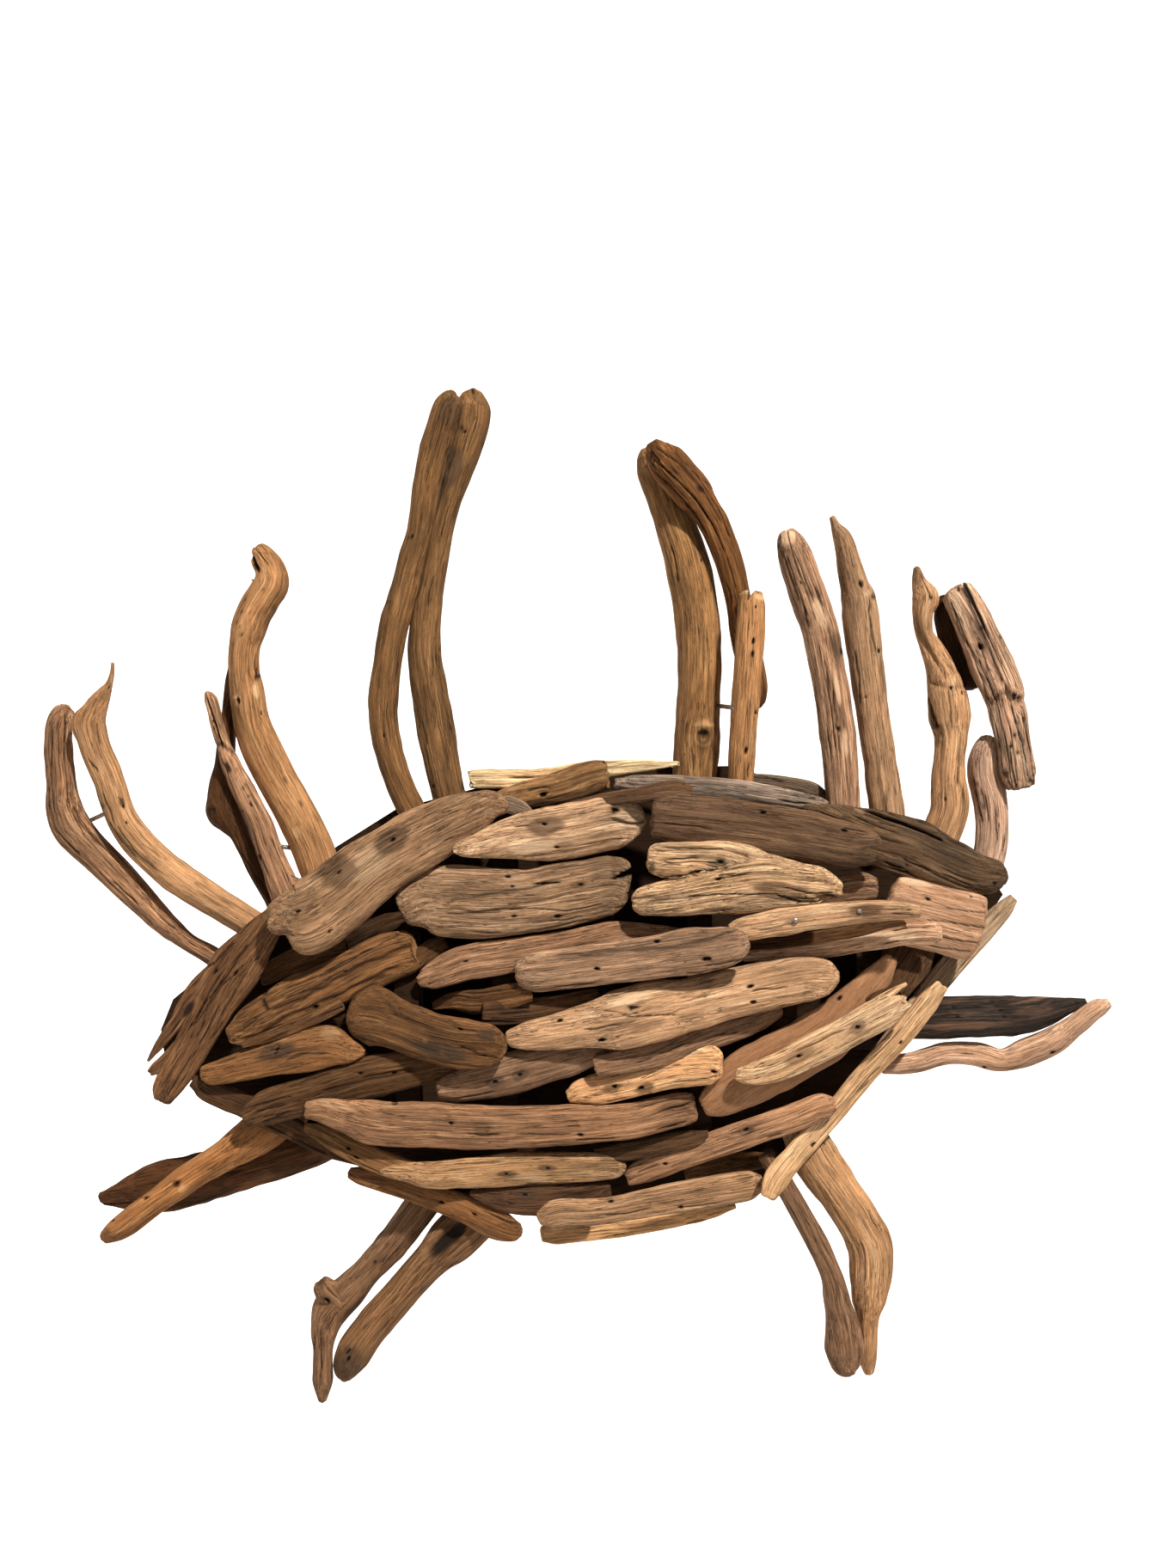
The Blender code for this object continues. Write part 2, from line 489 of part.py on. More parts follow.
def come_to_rest(points, triangles, laid, lean):
    """(base, lean in x, lean in z) that bring a piece as near the wall as those already laid let it."""
    back = facing(points, triangles, 1)
    wall = np.unique(back)
    rows = [np.column_stack([points[wall, 0], points[wall, 2], -points[wall, 1]])]
    for other in laid:
        rows.append(room_between((points, back), other))
    rows = np.concatenate(rows)
    middle = points[:, [0, 2]].mean(axis=0)
    spread = points[:, [0, 2]] - middle
    _, axes = np.linalg.eigh(spread.T @ spread)
    across, along = axes[:, 0], axes[:, 1]
    reach = np.array(lean)
    best_along, best_across = 0.0, 0.0
    # The second round looks more finely round the best lean that the first one found.
    for width in (1.0, 2.0 / LEAN_STEPS):
        tries = []
        for rise in np.linspace(-1, 1, LEAN_STEPS) * width * reach[0] + best_along:
            for roll in np.linspace(-1, 1, LEAN_STEPS) * width * reach[1] + best_across:
                slope = along * rise + across * roll
                base = (rows[:, 2] - rows[:, :2] @ slope).min() - CONTACT_GAP
                tries.append((base + middle @ slope, rise, roll, base, slope[0], slope[1]))
        best = max(tries)
        best_along, best_across = best[1], best[2]
    return best[3:]


def lay(pieces, base_solids):
    """The resting place of each piece: name, points and triangles for its main stick and its prongs."""
    heights = {piece[0]: 3 * PANEL_THICKNESS for piece in pieces}
    for _ in range(LAYING_PASSES):
        laid = [(points, facing(points, triangles, -1)) for points, triangles in base_solids]
        rested = []
        for name, colour, section, route, lean, bow in pieces:
            lofts = [loft(route, section, heights[name], bow)]
            for prong in PRONGS.get(name, []):
                lofts.append(loft(prong, section, heights[name]))
            points = np.concatenate([part[0] for part in lofts])
            starts = np.cumsum([0] + [len(part[0]) for part in lofts])
            triangles = np.concatenate([part[1] + start for part, start in zip(lofts, starts)])
            base, rise_x, rise_z = come_to_rest(points, triangles, laid, lean)
            placed = []
            for part_points, part_triangles in lofts:
                moved = part_points.copy()
                moved[:, 1] += base + rise_x * moved[:, 0] + rise_z * moved[:, 2]
                placed.append((moved, part_triangles))
                laid.append((moved, facing(moved, part_triangles, -1)))
            heights[name] = -placed[0][0][:, 1].mean()
            rested.append((name, colour, placed))
    return rested, heights


def material(name, colour):
    """A plain wood material."""
    made = bpy.data.materials.new(name)
    made.use_nodes = True
    shader = made.node_tree.nodes["Principled BSDF"]
    shader.inputs["Base Color"].default_value = linear(colour)
    shader.inputs["Roughness"].default_value = ROUGHNESS
    shader.inputs["Metallic"].default_value = 0.0
    return made


def add_solid(name, points, triangles, origin, smooth):
    """A mesh object with its origin at this point."""
    mesh = bpy.data.meshes.new(name)
    mesh.from_pydata((points - origin).tolist(), [], triangles.tolist())
    mesh.polygons.foreach_set("use_smooth", [smooth] * len(mesh.polygons))
    solid = bpy.data.objects.new(name, mesh)
    solid.location = origin
    bpy.context.scene.collection.objects.link(solid)
    return solid


def make_helper(solid):
    """Keeps an object out of the render, as a Boolean's operand."""
    solid.hide_render = True
    solid.display_type = "WIRE"


def split_cutter(name, height):
    """A wedge right through a plank, its sharp edge at the split's apex."""
    mouth_across, mouth_down, apex_across, apex_down, width = SPLITS[name]
    mouth = np.array(seen_at(mouth_across, mouth_down, height))
    apex = np.array(seen_at(apex_across, apex_down, height))
    ahead = (apex - mouth) / np.linalg.norm(apex - mouth)
    side = np.array([-ahead[1], ahead[0]]) * width * PIXEL / 2
    corners = [mouth + side, mouth - side, apex]
    reach = CRAB_WIDTH / 4
    points = [(x, y, z) for y in (reach, -reach) for x, z in corners]
    triangles = [(0, 1, 2), (3, 5, 4)]
    for start, end in ((0, 1), (1, 2), (2, 0)):
        triangles.append((start, start + 3, end + 3))
        triangles.append((start, end + 3, end))
    points = np.array(points)
    triangles = np.array(triangles)
    corner = points[triangles]
    if np.linalg.det(corner - np.array([*apex, 0])[[0, 2, 1]]).sum() < 0:
        triangles = triangles[:, ::-1]
    return points, triangles


def join_on(solid, word, solids, smooth):
    """Joins further solids to an object, each as a hidden operand."""
    for number, (points, triangles) in enumerate(solids, start=1):
        joined = add_solid(f"{solid.name}_{word}_{number}", points, triangles, points.mean(axis=0), smooth)
        joined.data.materials.append(solid.data.materials[0])
        make_helper(joined)
        join = solid.modifiers.new(f"{word}_{number}", "BOOLEAN")
        join.operation = "UNION"
        join.object = joined


def build_piece(name, colour, placed, height):
    """The object of one piece, with its prongs joined on and its split cut."""
    points, triangles = placed[0]
    solid = add_solid(name, points, triangles, points.mean(axis=0), True)
    solid.data.materials.append(material(name + "_wood", colour))
    join_on(solid, "prong", placed[1:], True)
    if name in SPLITS:
        wedge, wedge_triangles = split_cutter(name, height)
        cutter = add_solid(f"{name}_cutter", wedge, wedge_triangles, wedge.mean(axis=0), False)
        make_helper(cutter)
        cut = solid.modifiers.new("split", "BOOLEAN")
        cut.operation = "DIFFERENCE"
        cut.object = cutter


def build():
    for thing in list(bpy.data.objects):
        bpy.data.objects.remove(thing, do_unlink=True)
    panel_points, panel_triangles = panel_solid()
    panel = add_solid("back_panel", panel_points, panel_triangles, np.zeros(3), False)
    panel.data.materials.append(material("back_panel_wood", PANEL_COLOUR))
    ribs = [rib_solid(*rib) for rib in RIBS]
    join_on(panel, "rib", ribs, False)
    pieces = []
    for number, (name, colour, section, route) in enumerate(LIMBS):
        bow = LIMB_BOW * math.sin(2.4 * number)
        pieces.append((name, colour, section, route, LIMB_LEAN, bow))
    for name, colour, section, route in SHELL:
        pieces.append((name, colour, section, route, SHELL_LEAN, 0.0))
    rested, heights = lay(pieces, [(panel_points, panel_triangles), *ribs])
    for name, colour, placed in rested:
        build_piece(name, colour, placed, heights[name])


build()
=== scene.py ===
"""A crab wall hanging of weathered driftwood, dressed in wood: every stick and plank is carved again, finer,
along its own grain, with the checks, knots, nail holes and stains that each one shows.

Routes are held as the eye sees them from straight in front, in pixels of the view, as (across, down, width).
The function seen_at carries such a point to its true place at some height off the wall. A piece takes its
height, lean and bow from the CAD node that it stands for.
"""

import math

import bmesh
import bpy
import numpy as np
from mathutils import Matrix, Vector
from mathutils.bvhtree import BVHTree
from mathutils.kdtree import KDTree


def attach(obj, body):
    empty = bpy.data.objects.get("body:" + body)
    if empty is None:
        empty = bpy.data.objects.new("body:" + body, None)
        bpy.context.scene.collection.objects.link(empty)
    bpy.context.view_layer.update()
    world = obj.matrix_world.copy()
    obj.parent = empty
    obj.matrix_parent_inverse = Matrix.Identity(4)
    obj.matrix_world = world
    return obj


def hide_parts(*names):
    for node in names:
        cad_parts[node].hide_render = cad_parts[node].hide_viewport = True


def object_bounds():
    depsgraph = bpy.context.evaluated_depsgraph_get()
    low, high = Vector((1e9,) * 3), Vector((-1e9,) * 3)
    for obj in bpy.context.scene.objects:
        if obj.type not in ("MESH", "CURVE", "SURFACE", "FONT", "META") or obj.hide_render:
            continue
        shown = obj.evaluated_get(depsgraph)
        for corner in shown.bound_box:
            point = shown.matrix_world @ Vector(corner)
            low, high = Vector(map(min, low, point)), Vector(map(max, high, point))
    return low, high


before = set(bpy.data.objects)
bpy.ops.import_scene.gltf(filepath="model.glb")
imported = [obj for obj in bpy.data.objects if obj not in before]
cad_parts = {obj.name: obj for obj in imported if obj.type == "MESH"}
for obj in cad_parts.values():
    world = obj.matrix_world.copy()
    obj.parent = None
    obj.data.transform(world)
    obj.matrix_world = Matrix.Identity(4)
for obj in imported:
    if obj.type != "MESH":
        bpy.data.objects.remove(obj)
cad_low, cad_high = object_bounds()

# The view: metres a pixel at the wall, the eye's distance, the point it looks at and the point of the mount.
PIXEL = 0.81 / 1245
VIEW_DISTANCE = 1.4
EYE_POINT = (684, 912)
MOUNT_POINT = (684, 1150)
IMAGE_HEIGHT = 1824
EYE = (0, -VIEW_DISTANCE, (MOUNT_POINT[1] - EYE_POINT[1]) * PIXEL)

# Sections: thickness as a share of the width, and how square the sides are.
ROUND = (0.85, 2.0)
HALF_ROUND = (0.60, 2.3)
FLAT = (0.40, 2.7)
LATH = (0.34, 3.2)
# How much less the thickness changes along a piece than its width, and the least thickness in metres.
THINNING = 0.6
THINNEST_STICK = 0.004

# Limbs, and the routes of their stations from one end to the other.
LIMBS = [
    ("left_leg_back", "DARK", HALF_ROUND, [
        (410, 1312, 40), (350, 1338, 50), (300, 1352, 52), (250, 1366, 58), (205, 1378, 60),
        (178, 1383, 54), (140, 1392, 32), (114, 1396, 16)]),
    ("left_leg_front", "ORANGE", ROUND, [
        (352, 1284, 40), (300, 1318, 50), (262, 1343, 36), (230, 1362, 33), (195, 1387, 31),
        (165, 1409, 31), (138, 1429, 29), (119, 1441, 16)]),
    ("left_foot_outer", "BROWN", ROUND, [
        (514, 1370, 40), (483, 1412, 40), (456, 1447, 38), (430, 1476, 36), (405, 1503, 42),
        (386, 1522, 46), (377, 1547, 34), (375, 1575, 25), (375, 1602, 27), (375, 1632, 11)]),
    ("left_foot_inner", "TAN", ROUND, [
        (566, 1402, 56), (532, 1435, 56), (500, 1466, 46), (470, 1500, 42), (440, 1535, 44),
        (415, 1570, 44), (403, 1592, 34), (399, 1609, 14)]),
    ("right_foot_outer", "ORANGE", ROUND, [
        (926, 1300, 44), (948, 1345, 54), (975, 1385, 54), (998, 1420, 52), (1011, 1448, 56),
        (1013, 1487, 52), (1011, 1515, 42), (1010, 1535, 29), (1010, 1575, 25), (1011, 1602, 12)]),
    ("right_foot_inner", "GREY_BROWN", ROUND, [
        (890, 1340, 24), (925, 1400, 27), (941, 1430, 27), (958, 1463, 28), (969, 1490, 30),
        (974, 1515, 34), (980, 1540, 41), (983, 1567, 47), (984, 1586, 37), (987, 1600, 17)]),
    ("right_leg_dark", "CHARCOAL", HALF_ROUND, [
        (1052, 1188, 44), (1100, 1184, 50), (1150, 1182, 50), (1200, 1180, 42), (1240, 1172, 25),
        (1268, 1165, 9)]),
    ("right_leg_light", "PINK_TAN", ROUND, [
        (1024, 1240, 20), (1065, 1236, 26), (1100, 1226, 29), (1135, 1227, 31), (1165, 1234, 28),
        (1195, 1224, 34), (1225, 1211, 33), (1250, 1192, 24), (1275, 1172, 21), (1289, 1165, 11)]),
    ("right_arm_bridge", "DARK", HALF_ROUND, [
        (1096, 691, 18), (1105, 716, 38), (1115, 750, 44), (1126, 783, 38), (1132, 804, 16)]),
    ("right_arm_inner", "TAN", ROUND, [
        (1086, 1008, 36), (1093, 975, 44), (1104, 940, 46), (1103, 905, 40), (1104, 880, 38),
        (1106, 860, 38), (1104, 832, 49), (1100, 803, 44), (1092, 773, 33), (1083, 752, 26),
        (1076, 736, 22), (1074, 710, 25), (1077, 696, 31), (1070, 675, 17), (1067, 658, 8)]),
    ("right_arm_outer", "PINK_TAN", ROUND, [
        (1146, 1018, 34), (1153, 985, 38), (1155, 955, 39), (1152, 925, 40), (1145, 897, 39),
        (1146, 874, 33), (1151, 854, 17)]),
    ("right_arm_split", "GREY_BROWN", HALF_ROUND, [
        (1110, 682, 37), (1119, 696, 43), (1140, 740, 48), (1158, 784, 51), (1166, 802, 49),
        (1170, 819, 45), (1178, 860, 44), (1185, 898, 44), (1190, 918, 34)]),
    ("right_claw_outer", "TAN", ROUND, [
        (1033, 975, 40), (1028, 930, 41), (1023, 890, 40), (1017, 845, 39), (1011, 800, 40),
        (1005, 752, 41), (1001, 718, 41), (999, 697, 39), (994, 680, 34), (989, 660, 30), (979, 623, 22),
        (972, 610, 12), (968, 599, 8)]),
    ("right_claw_inner", "GREY_BROWN", ROUND, [
        (981, 955, 38), (979, 915, 41), (976, 870, 43), (967, 795, 43), (961, 762, 45), (955, 732, 45),
        (944, 700, 45), (935, 675, 44), (927, 652, 42), (919, 628, 33), (917, 614, 17)]),
    ("right_horn_wide", "BROWN", ROUND, [
        (806, 930, 46), (809, 880, 54), (811, 820, 51), (813, 770, 51), (809, 702, 53), (796, 640, 52),
        (782, 600, 50), (764, 550, 47), (750, 518, 24)]),
    ("right_horn_grooved", "BROWN", ROUND, [
        (879, 827, 14), (878, 815, 29), (877, 798, 34), (866, 740, 33), (858, 690, 33), (842, 636, 34),
        (824, 598, 35), (805, 573, 44), (777, 541, 44), (763, 524, 31), (758, 515, 15)]),
    ("right_horn_front", "ORANGE", ROUND, [
        (860, 945, 30), (862, 905, 33), (864, 860, 34), (867, 810, 35), (871, 750, 35), (873, 710, 34),
        (873, 686, 29)]),
    ("left_horn_back", "TAN", ROUND, [
        (532, 960, 42), (520, 915, 42), (508, 860, 44), (500, 810, 44), (494, 760, 43), (497, 715, 36),
        (504, 670, 31), (515, 605, 31), (541, 520, 38), (552, 478, 36), (551, 461, 25), (549, 450, 14)]),
    ("left_horn_front", "GREY_BROWN", ROUND, [
        (487, 958, 34), (467, 918, 32), (453, 877, 34), (446, 835, 36), (449, 780, 35), (456, 735, 36),
        (465, 700, 35), (474, 665, 31), (487, 622, 31), (498, 556, 33), (505, 525, 35), (512, 500, 34),
        (519, 475, 30), (529, 457, 14)]),
    ("left_claw_outer", "DARK", ROUND, [
        (334, 1085, 26), (320, 1047, 26), (301, 1014, 25), (284, 979, 23), (278, 966, 27), (270, 955, 36),
        (262, 943, 46), (260, 929, 41), (259, 913, 31), (261, 893, 24), (264, 855, 20), (267, 808, 17),
        (268, 764, 7)]),
    ("left_claw_middle", "PINK_TAN", ROUND, [
        (345, 1072, 36), (328, 1027, 36), (309, 980, 34), (302, 960, 33), (287, 930, 30), (273, 900, 27),
        (266, 882, 24), (260, 866, 18), (252, 840, 17), (246, 816, 16), (241, 803, 9)]),
    ("left_claw_inner", "ORANGE", ROUND, [
        (378, 1030, 44), (365, 988, 47), (347, 950, 49), (319, 900, 48), (304, 870, 47), (295, 848, 44),
        (287, 805, 41), (283, 775, 37), (284, 753, 37), (289, 732, 42), (296, 712, 44), (307, 693, 44),
        (315, 679, 45), (314, 663, 40), (306, 650, 35), (299, 642, 29), (292, 638, 14)]),
    ("left_arm_outer", "GREY_BROWN", ROUND, [
        (285, 1138, 26), (245, 1110, 25), (222, 1097, 24), (198, 1078, 31), (165, 1045, 38),
        (119, 1000, 44), (97, 979, 47), (80, 957, 50), (73, 935, 44), (71, 912, 37), (67, 870, 34),
        (68, 838, 31), (73, 825, 23), (76, 818, 14)]),
    ("left_arm_inner", "ORANGE", ROUND, [
        (322, 1092, 34), (290, 1072, 36), (240, 1042, 37), (190, 1008, 40), (143, 955, 40), (125, 905, 39),
        (107, 860, 38), (104, 841, 39), (111, 823, 31), (120, 807, 21), (127, 794, 11), (130, 782, 8),
        (131, 768, 6)]),
]

# Rim laths and shell planks, in the order in which they are nailed on.
SHELL = [
    ("rim_lower_left", "DARK", LATH, [
        (226, 1254, 14), (245, 1266, 28), (280, 1282, 30), (320, 1303, 30), (360, 1325, 28),
        (400, 1345, 22), (430, 1359, 12)]),
    ("rim_right_back", "PALE_TAN", LATH, [
        (1185, 1044, 12), (1166, 1063, 25), (1130, 1098, 30), (1090, 1142, 28), (1050, 1190, 26),
        (1012, 1236, 22)]),
    ("rim_bottom", "TAN", LATH, [
        (404, 1364, 12), (420, 1368, 22), (460, 1377, 30), (500, 1391, 32), (540, 1406, 34),
        (575, 1423, 38), (598, 1431, 29), (609, 1431, 13)]),
    ("rim_left_front", "BROWN", LATH, [
        (352, 1309, 10), (370, 1316, 20), (400, 1332, 28), (430, 1346, 30), (465, 1360, 30),
        (500, 1373, 24)]),
    ("shell_top_light", "PALE_TAN", LATH, [
        (543, 907, 22), (560, 906, 25), (620, 906, 25), (680, 898, 24), (735, 892, 16), (791, 888, 6)]),
    ("shell_top_brown", "BROWN", FLAT, [
        (562, 932, 10), (590, 928, 26), (620, 923, 36), (660, 914, 40), (690, 904, 40), (709, 900, 34)]),
    ("shell_top_grey", "GREY_BROWN", HALF_ROUND, [
        (713, 911, 12), (735, 913, 24), (790, 914, 27), (850, 918, 27), (900, 926, 26), (940, 932, 20),
        (963, 936, 7)]),
    ("shell_right_dark", "DARK", FLAT, [
        (932, 938, 7), (952, 946, 25), (985, 960, 50), (1020, 974, 68), (1060, 986, 70), (1100, 1003, 60),
        (1140, 1018, 50), (1163, 1021, 40), (1177, 1023, 18)]),
    ("shell_inner_right", "ORANGE", FLAT, [
        (816, 1290, 24), (835, 1280, 46), (870, 1255, 66), (910, 1234, 68), (945, 1214, 68),
        (975, 1190, 60), (1000, 1160, 45), (1020, 1136, 34), (1037, 1111, 15)]),
    ("shell_left_edge", "BROWN", FLAT, [
        (332, 1056, 26), (302, 1093, 44), (275, 1128, 60), (255, 1158, 56), (240, 1188, 46),
        (213, 1235, 42), (200, 1255, 38), (190, 1272, 33), (186, 1286, 20)]),
    ("shell_left_ridged", "BROWN", FLAT, [
        (265, 1205, 18), (282, 1198, 38), (305, 1185, 50), (340, 1167, 60), (380, 1149, 57),
        (415, 1132, 58), (450, 1115, 58), (478, 1108, 50), (487, 1106, 40)]),
    ("shell_left_wide", "TAN", FLAT, [
        (466, 1062, 30), (490, 1050, 66), (520, 1048, 82), (560, 1050, 84), (620, 1047, 76),
        (680, 1036, 72), (715, 1030, 68), (733, 1034, 50)]),
    ("shell_low_left", "BROWN", FLAT, [
        (282, 1302, 20), (315, 1287, 44), (360, 1274, 48), (420, 1256, 52), (480, 1243, 48),
        (532, 1232, 34)]),
    ("shell_left_point", "TAN", FLAT, [
        (232, 1248, 16), (245, 1248, 28), (280, 1240, 36), (320, 1230, 44), (355, 1221, 54),
        (385, 1218, 50), (405, 1222, 34), (426, 1225, 10)]),
    ("shell_middle_low", "TAN", FLAT, [
        (484, 1142, 14), (505, 1134, 34), (540, 1121, 42), (580, 1114, 44), (620, 1108, 42),
        (670, 1099, 38), (720, 1088, 34), (770, 1088, 24), (801, 1086, 12)]),
    ("shell_right_block", "ORANGE", FLAT, [
        (1026, 1051, 54), (1032, 1053, 70), (1045, 1057, 77), (1080, 1066, 79), (1115, 1075, 79),
        (1138, 1081, 75), (1146, 1083, 60)]),
    ("shell_upper_right", "BROWN", FLAT, [
        (757, 950, 50), (800, 955, 60), (850, 960, 63), (900, 967, 63), (950, 976, 62), (985, 983, 54),
        (1008, 985, 46), (1024, 985, 26)]),
    ("shell_upper_left", "TAN", FLAT, [
        (314, 1078, 20), (330, 1069, 50), (358, 1065, 90), (392, 1044, 84), (430, 1013, 80), (490, 975, 73),
        (540, 950, 58), (575, 937, 35), (592, 940, 14)]),
    ("shell_fish", "TAN", FLAT, [
        (526, 989, 10), (545, 985, 26), (585, 976, 46), (635, 970, 64), (680, 963, 66), (715, 956, 64),
        (738, 956, 46), (753, 958, 20)]),
    ("shell_right_low_stick", "GREY_BROWN", HALF_ROUND, [
        (864, 1114, 14), (920, 1110, 17), (970, 1104, 20), (1010, 1096, 23), (1050, 1087, 27),
        (1080, 1085, 28), (1095, 1086, 17)]),
    ("shell_two_lobed", "PALE_TAN", FLAT, [
        (734, 1051, 18), (744, 1050, 34), (765, 1047, 42), (790, 1043, 50), (820, 1037, 58),
        (850, 1031, 66), (880, 1026, 70), (920, 1028, 57), (955, 1030, 42), (978, 1033, 18)]),
    ("shell_right_stick", "TAN", HALF_ROUND, [
        (848, 1085, 18), (860, 1083, 30), (876, 1080, 33), (900, 1075, 34), (950, 1066, 31),
        (1000, 1060, 29), (1045, 1058, 23), (1070, 1060, 14)]),
    ("shell_middle_split", "TAN", FLAT, [
        (597, 1135, 26), (618, 1133, 46), (660, 1128, 49), (700, 1122, 47), (760, 1113, 52),
        (800, 1106, 58), (840, 1100, 52), (860, 1095, 38), (871, 1092, 18)]),
    ("shell_under_middle", "BROWN", FLAT, [
        (506, 1268, 22), (540, 1262, 40), (600, 1247, 50), (650, 1233, 46), (700, 1220, 28),
        (735, 1211, 10)]),
    ("shell_long", "TAN", FLAT, [
        (587, 1210, 18), (610, 1206, 32), (650, 1200, 44), (690, 1192, 58), (725, 1185, 70),
        (765, 1175, 72), (800, 1168, 62), (850, 1155, 58), (900, 1144, 57), (940, 1137, 54),
        (965, 1137, 38), (977, 1138, 17)]),
    ("shell_lower_stick", "TAN", LATH, [
        (545, 1384, 8), (570, 1390, 24), (600, 1393, 38), (630, 1394, 42), (680, 1391, 34),
        (712, 1386, 18)]),
    ("shell_wide_low", "TAN", FLAT, [
        (355, 1288, 20), (378, 1290, 31), (400, 1296, 40), (440, 1305, 55), (500, 1308, 55),
        (560, 1312, 54), (620, 1312, 50), (690, 1309, 47), (740, 1305, 45), (790, 1293, 44),
        (812, 1289, 34)]),
    ("shell_short", "PALE_TAN", FLAT, [
        (658, 1278, 14), (675, 1271, 28), (700, 1266, 37), (740, 1256, 40), (770, 1245, 47),
        (800, 1239, 52), (825, 1237, 50), (842, 1238, 26)]),
    ("shell_bottom_edge", "BROWN", LATH, [
        (627, 1436, 18), (650, 1432, 32), (700, 1427, 31), (760, 1419, 29), (810, 1411, 24),
        (858, 1403, 6)]),
    ("shell_bottom", "TAN", FLAT, [
        (626, 1415, 16), (645, 1408, 34), (690, 1407, 32), (740, 1401, 34), (790, 1394, 38),
        (840, 1387, 40), (872, 1383, 38), (890, 1380, 20)]),
    ("rim_right_front", "PALE_TAN", LATH, [
        (1096, 1144, 16), (1076, 1168, 27), (1046, 1206, 28), (1007, 1249, 28), (968, 1297, 27),
        (928, 1342, 29), (905, 1371, 31), (893, 1396, 18)]),
    ("shell_right_splintered", "PALE_TAN", FLAT, [
        (853, 1249, 14), (868, 1250, 25), (900, 1243, 33), (940, 1224, 38), (980, 1204, 38),
        (1020, 1182, 39), (1045, 1170, 32), (1060, 1163, 17)]),
    ("shell_lower_right", "PINK_TAN", FLAT, [
        (727, 1376, 16), (742, 1368, 29), (775, 1353, 36), (820, 1336, 35), (870, 1317, 34),
        (920, 1299, 34), (955, 1284, 32), (970, 1280, 17)]),
    ("shell_low_middle", "PALE_TAN", FLAT, [
        (443, 1358, 8), (470, 1359, 20), (500, 1364, 31), (550, 1363, 36), (600, 1360, 38), (660, 1360, 36),
        (700, 1360, 32), (720, 1360, 27), (731, 1359, 11)]),
    ("shell_bone", "TAN", FLAT, [
        (402, 1178, 24), (415, 1181, 52), (435, 1183, 68), (465, 1193, 58), (500, 1206, 58),
        (535, 1214, 60), (565, 1216, 55), (583, 1217, 38), (592, 1217, 15)]),
]

# Splinters that branch off a plank: routes like the others, fused with the plank.
PRONGS = {
    "left_foot_outer": [
        [(402, 1520, 30), (383, 1503, 34), (370, 1488, 20)],
    ],
    "shell_left_edge": [
        [(262, 1122, 26), (240, 1142, 27), (222, 1163, 24), (207, 1186, 20), (175, 1228, 10),
        (168, 1238, 5)],
        [(234, 1196, 16), (212, 1213, 18), (195, 1231, 19), (180, 1244, 17), (170, 1252, 9)],
    ],
    "shell_right_splintered": [
        [(1000, 1181, 18), (1022, 1164, 13), (1056, 1143, 5)],
    ],
    "shell_two_lobed": [
        [(900, 1018, 40), (870, 1011, 52), (840, 1003, 48), (810, 1001, 44), (780, 1001, 44),
        (760, 999, 37),
            (751, 998, 26)],
    ],
}

# Splits that run in from an end or an edge: (mouth across, mouth down, apex across, apex down, width).
SPLITS = {
    "right_arm_split": (1117, 671, 1174, 805, 5),
    "shell_upper_right": (1034, 991, 997, 986, 17),
    "shell_left_wide": (742, 1011, 712, 1022, 12),
    "right_horn_front": (880, 672, 868, 700, 16),
}

# Woods: a slot name, then base, second, pale and dark tone as sRGB bytes.
WOODS = {
    "TAN": ("wood_tan", (184, 141, 103), (158, 121, 88), (224, 190, 151), (98, 66, 40)),
    "PALE_TAN": ("wood_pale_tan", (206, 166, 125), (184, 142, 101), (236, 206, 167), (122, 84, 52)),
    "ORANGE": ("wood_orange", (200, 146, 98), (172, 122, 78), (228, 188, 144), (114, 74, 44)),
    "BROWN": ("wood_brown", (146, 106, 74), (118, 86, 60), (190, 150, 108), (70, 46, 30)),
    "GREY_BROWN": ("wood_grey_brown", (148, 121, 97), (120, 99, 80), (188, 162, 134), (66, 50, 38)),
    "PINK_TAN": ("wood_pink_tan", (188, 146, 114), (160, 119, 88), (220, 186, 155), (108, 72, 48)),
    "DARK": ("wood_dark", (92, 63, 38), (66, 46, 29), (134, 97, 63), (38, 25, 15)),
    "CHARCOAL": ("wood_charcoal", (58, 48, 42), (38, 33, 30), (112, 84, 66), (18, 14, 12)),
    "KHAKI": ("wood_brown", (141, 98, 57), (111, 76, 44), (181, 136, 88), (62, 42, 24)),
    "WALNUT": ("wood_brown", (118, 77, 42), (88, 57, 30), (164, 115, 68), (46, 29, 15)),
    "UMBER": ("wood_brown", (120, 81, 47), (94, 63, 37), (166, 121, 77), (48, 31, 18)),
    "HONEY": ("wood_orange", (196, 136, 84), (160, 108, 64), (226, 178, 124), (104, 66, 38)),
    "DRIFT": ("wood_grey_brown", (150, 112, 83), (120, 89, 66), (194, 156, 122), (66, 45, 30)),
    "BLEACHED": ("wood_pale_tan", (232, 202, 169), (206, 170, 132), (250, 230, 203), (140, 98, 64)),
}
PLAIN_LOOK = {
    "relief": 1.0, "lumps": 1.0, "cracks": 0.8, "checks": 1.0, "contrast": 1.0, "tone_and_painted_light": 1.0, "warm": 1.0,
    "rough": 0.78, "torn": 0.003, "ends": ("worn", "worn"),
}
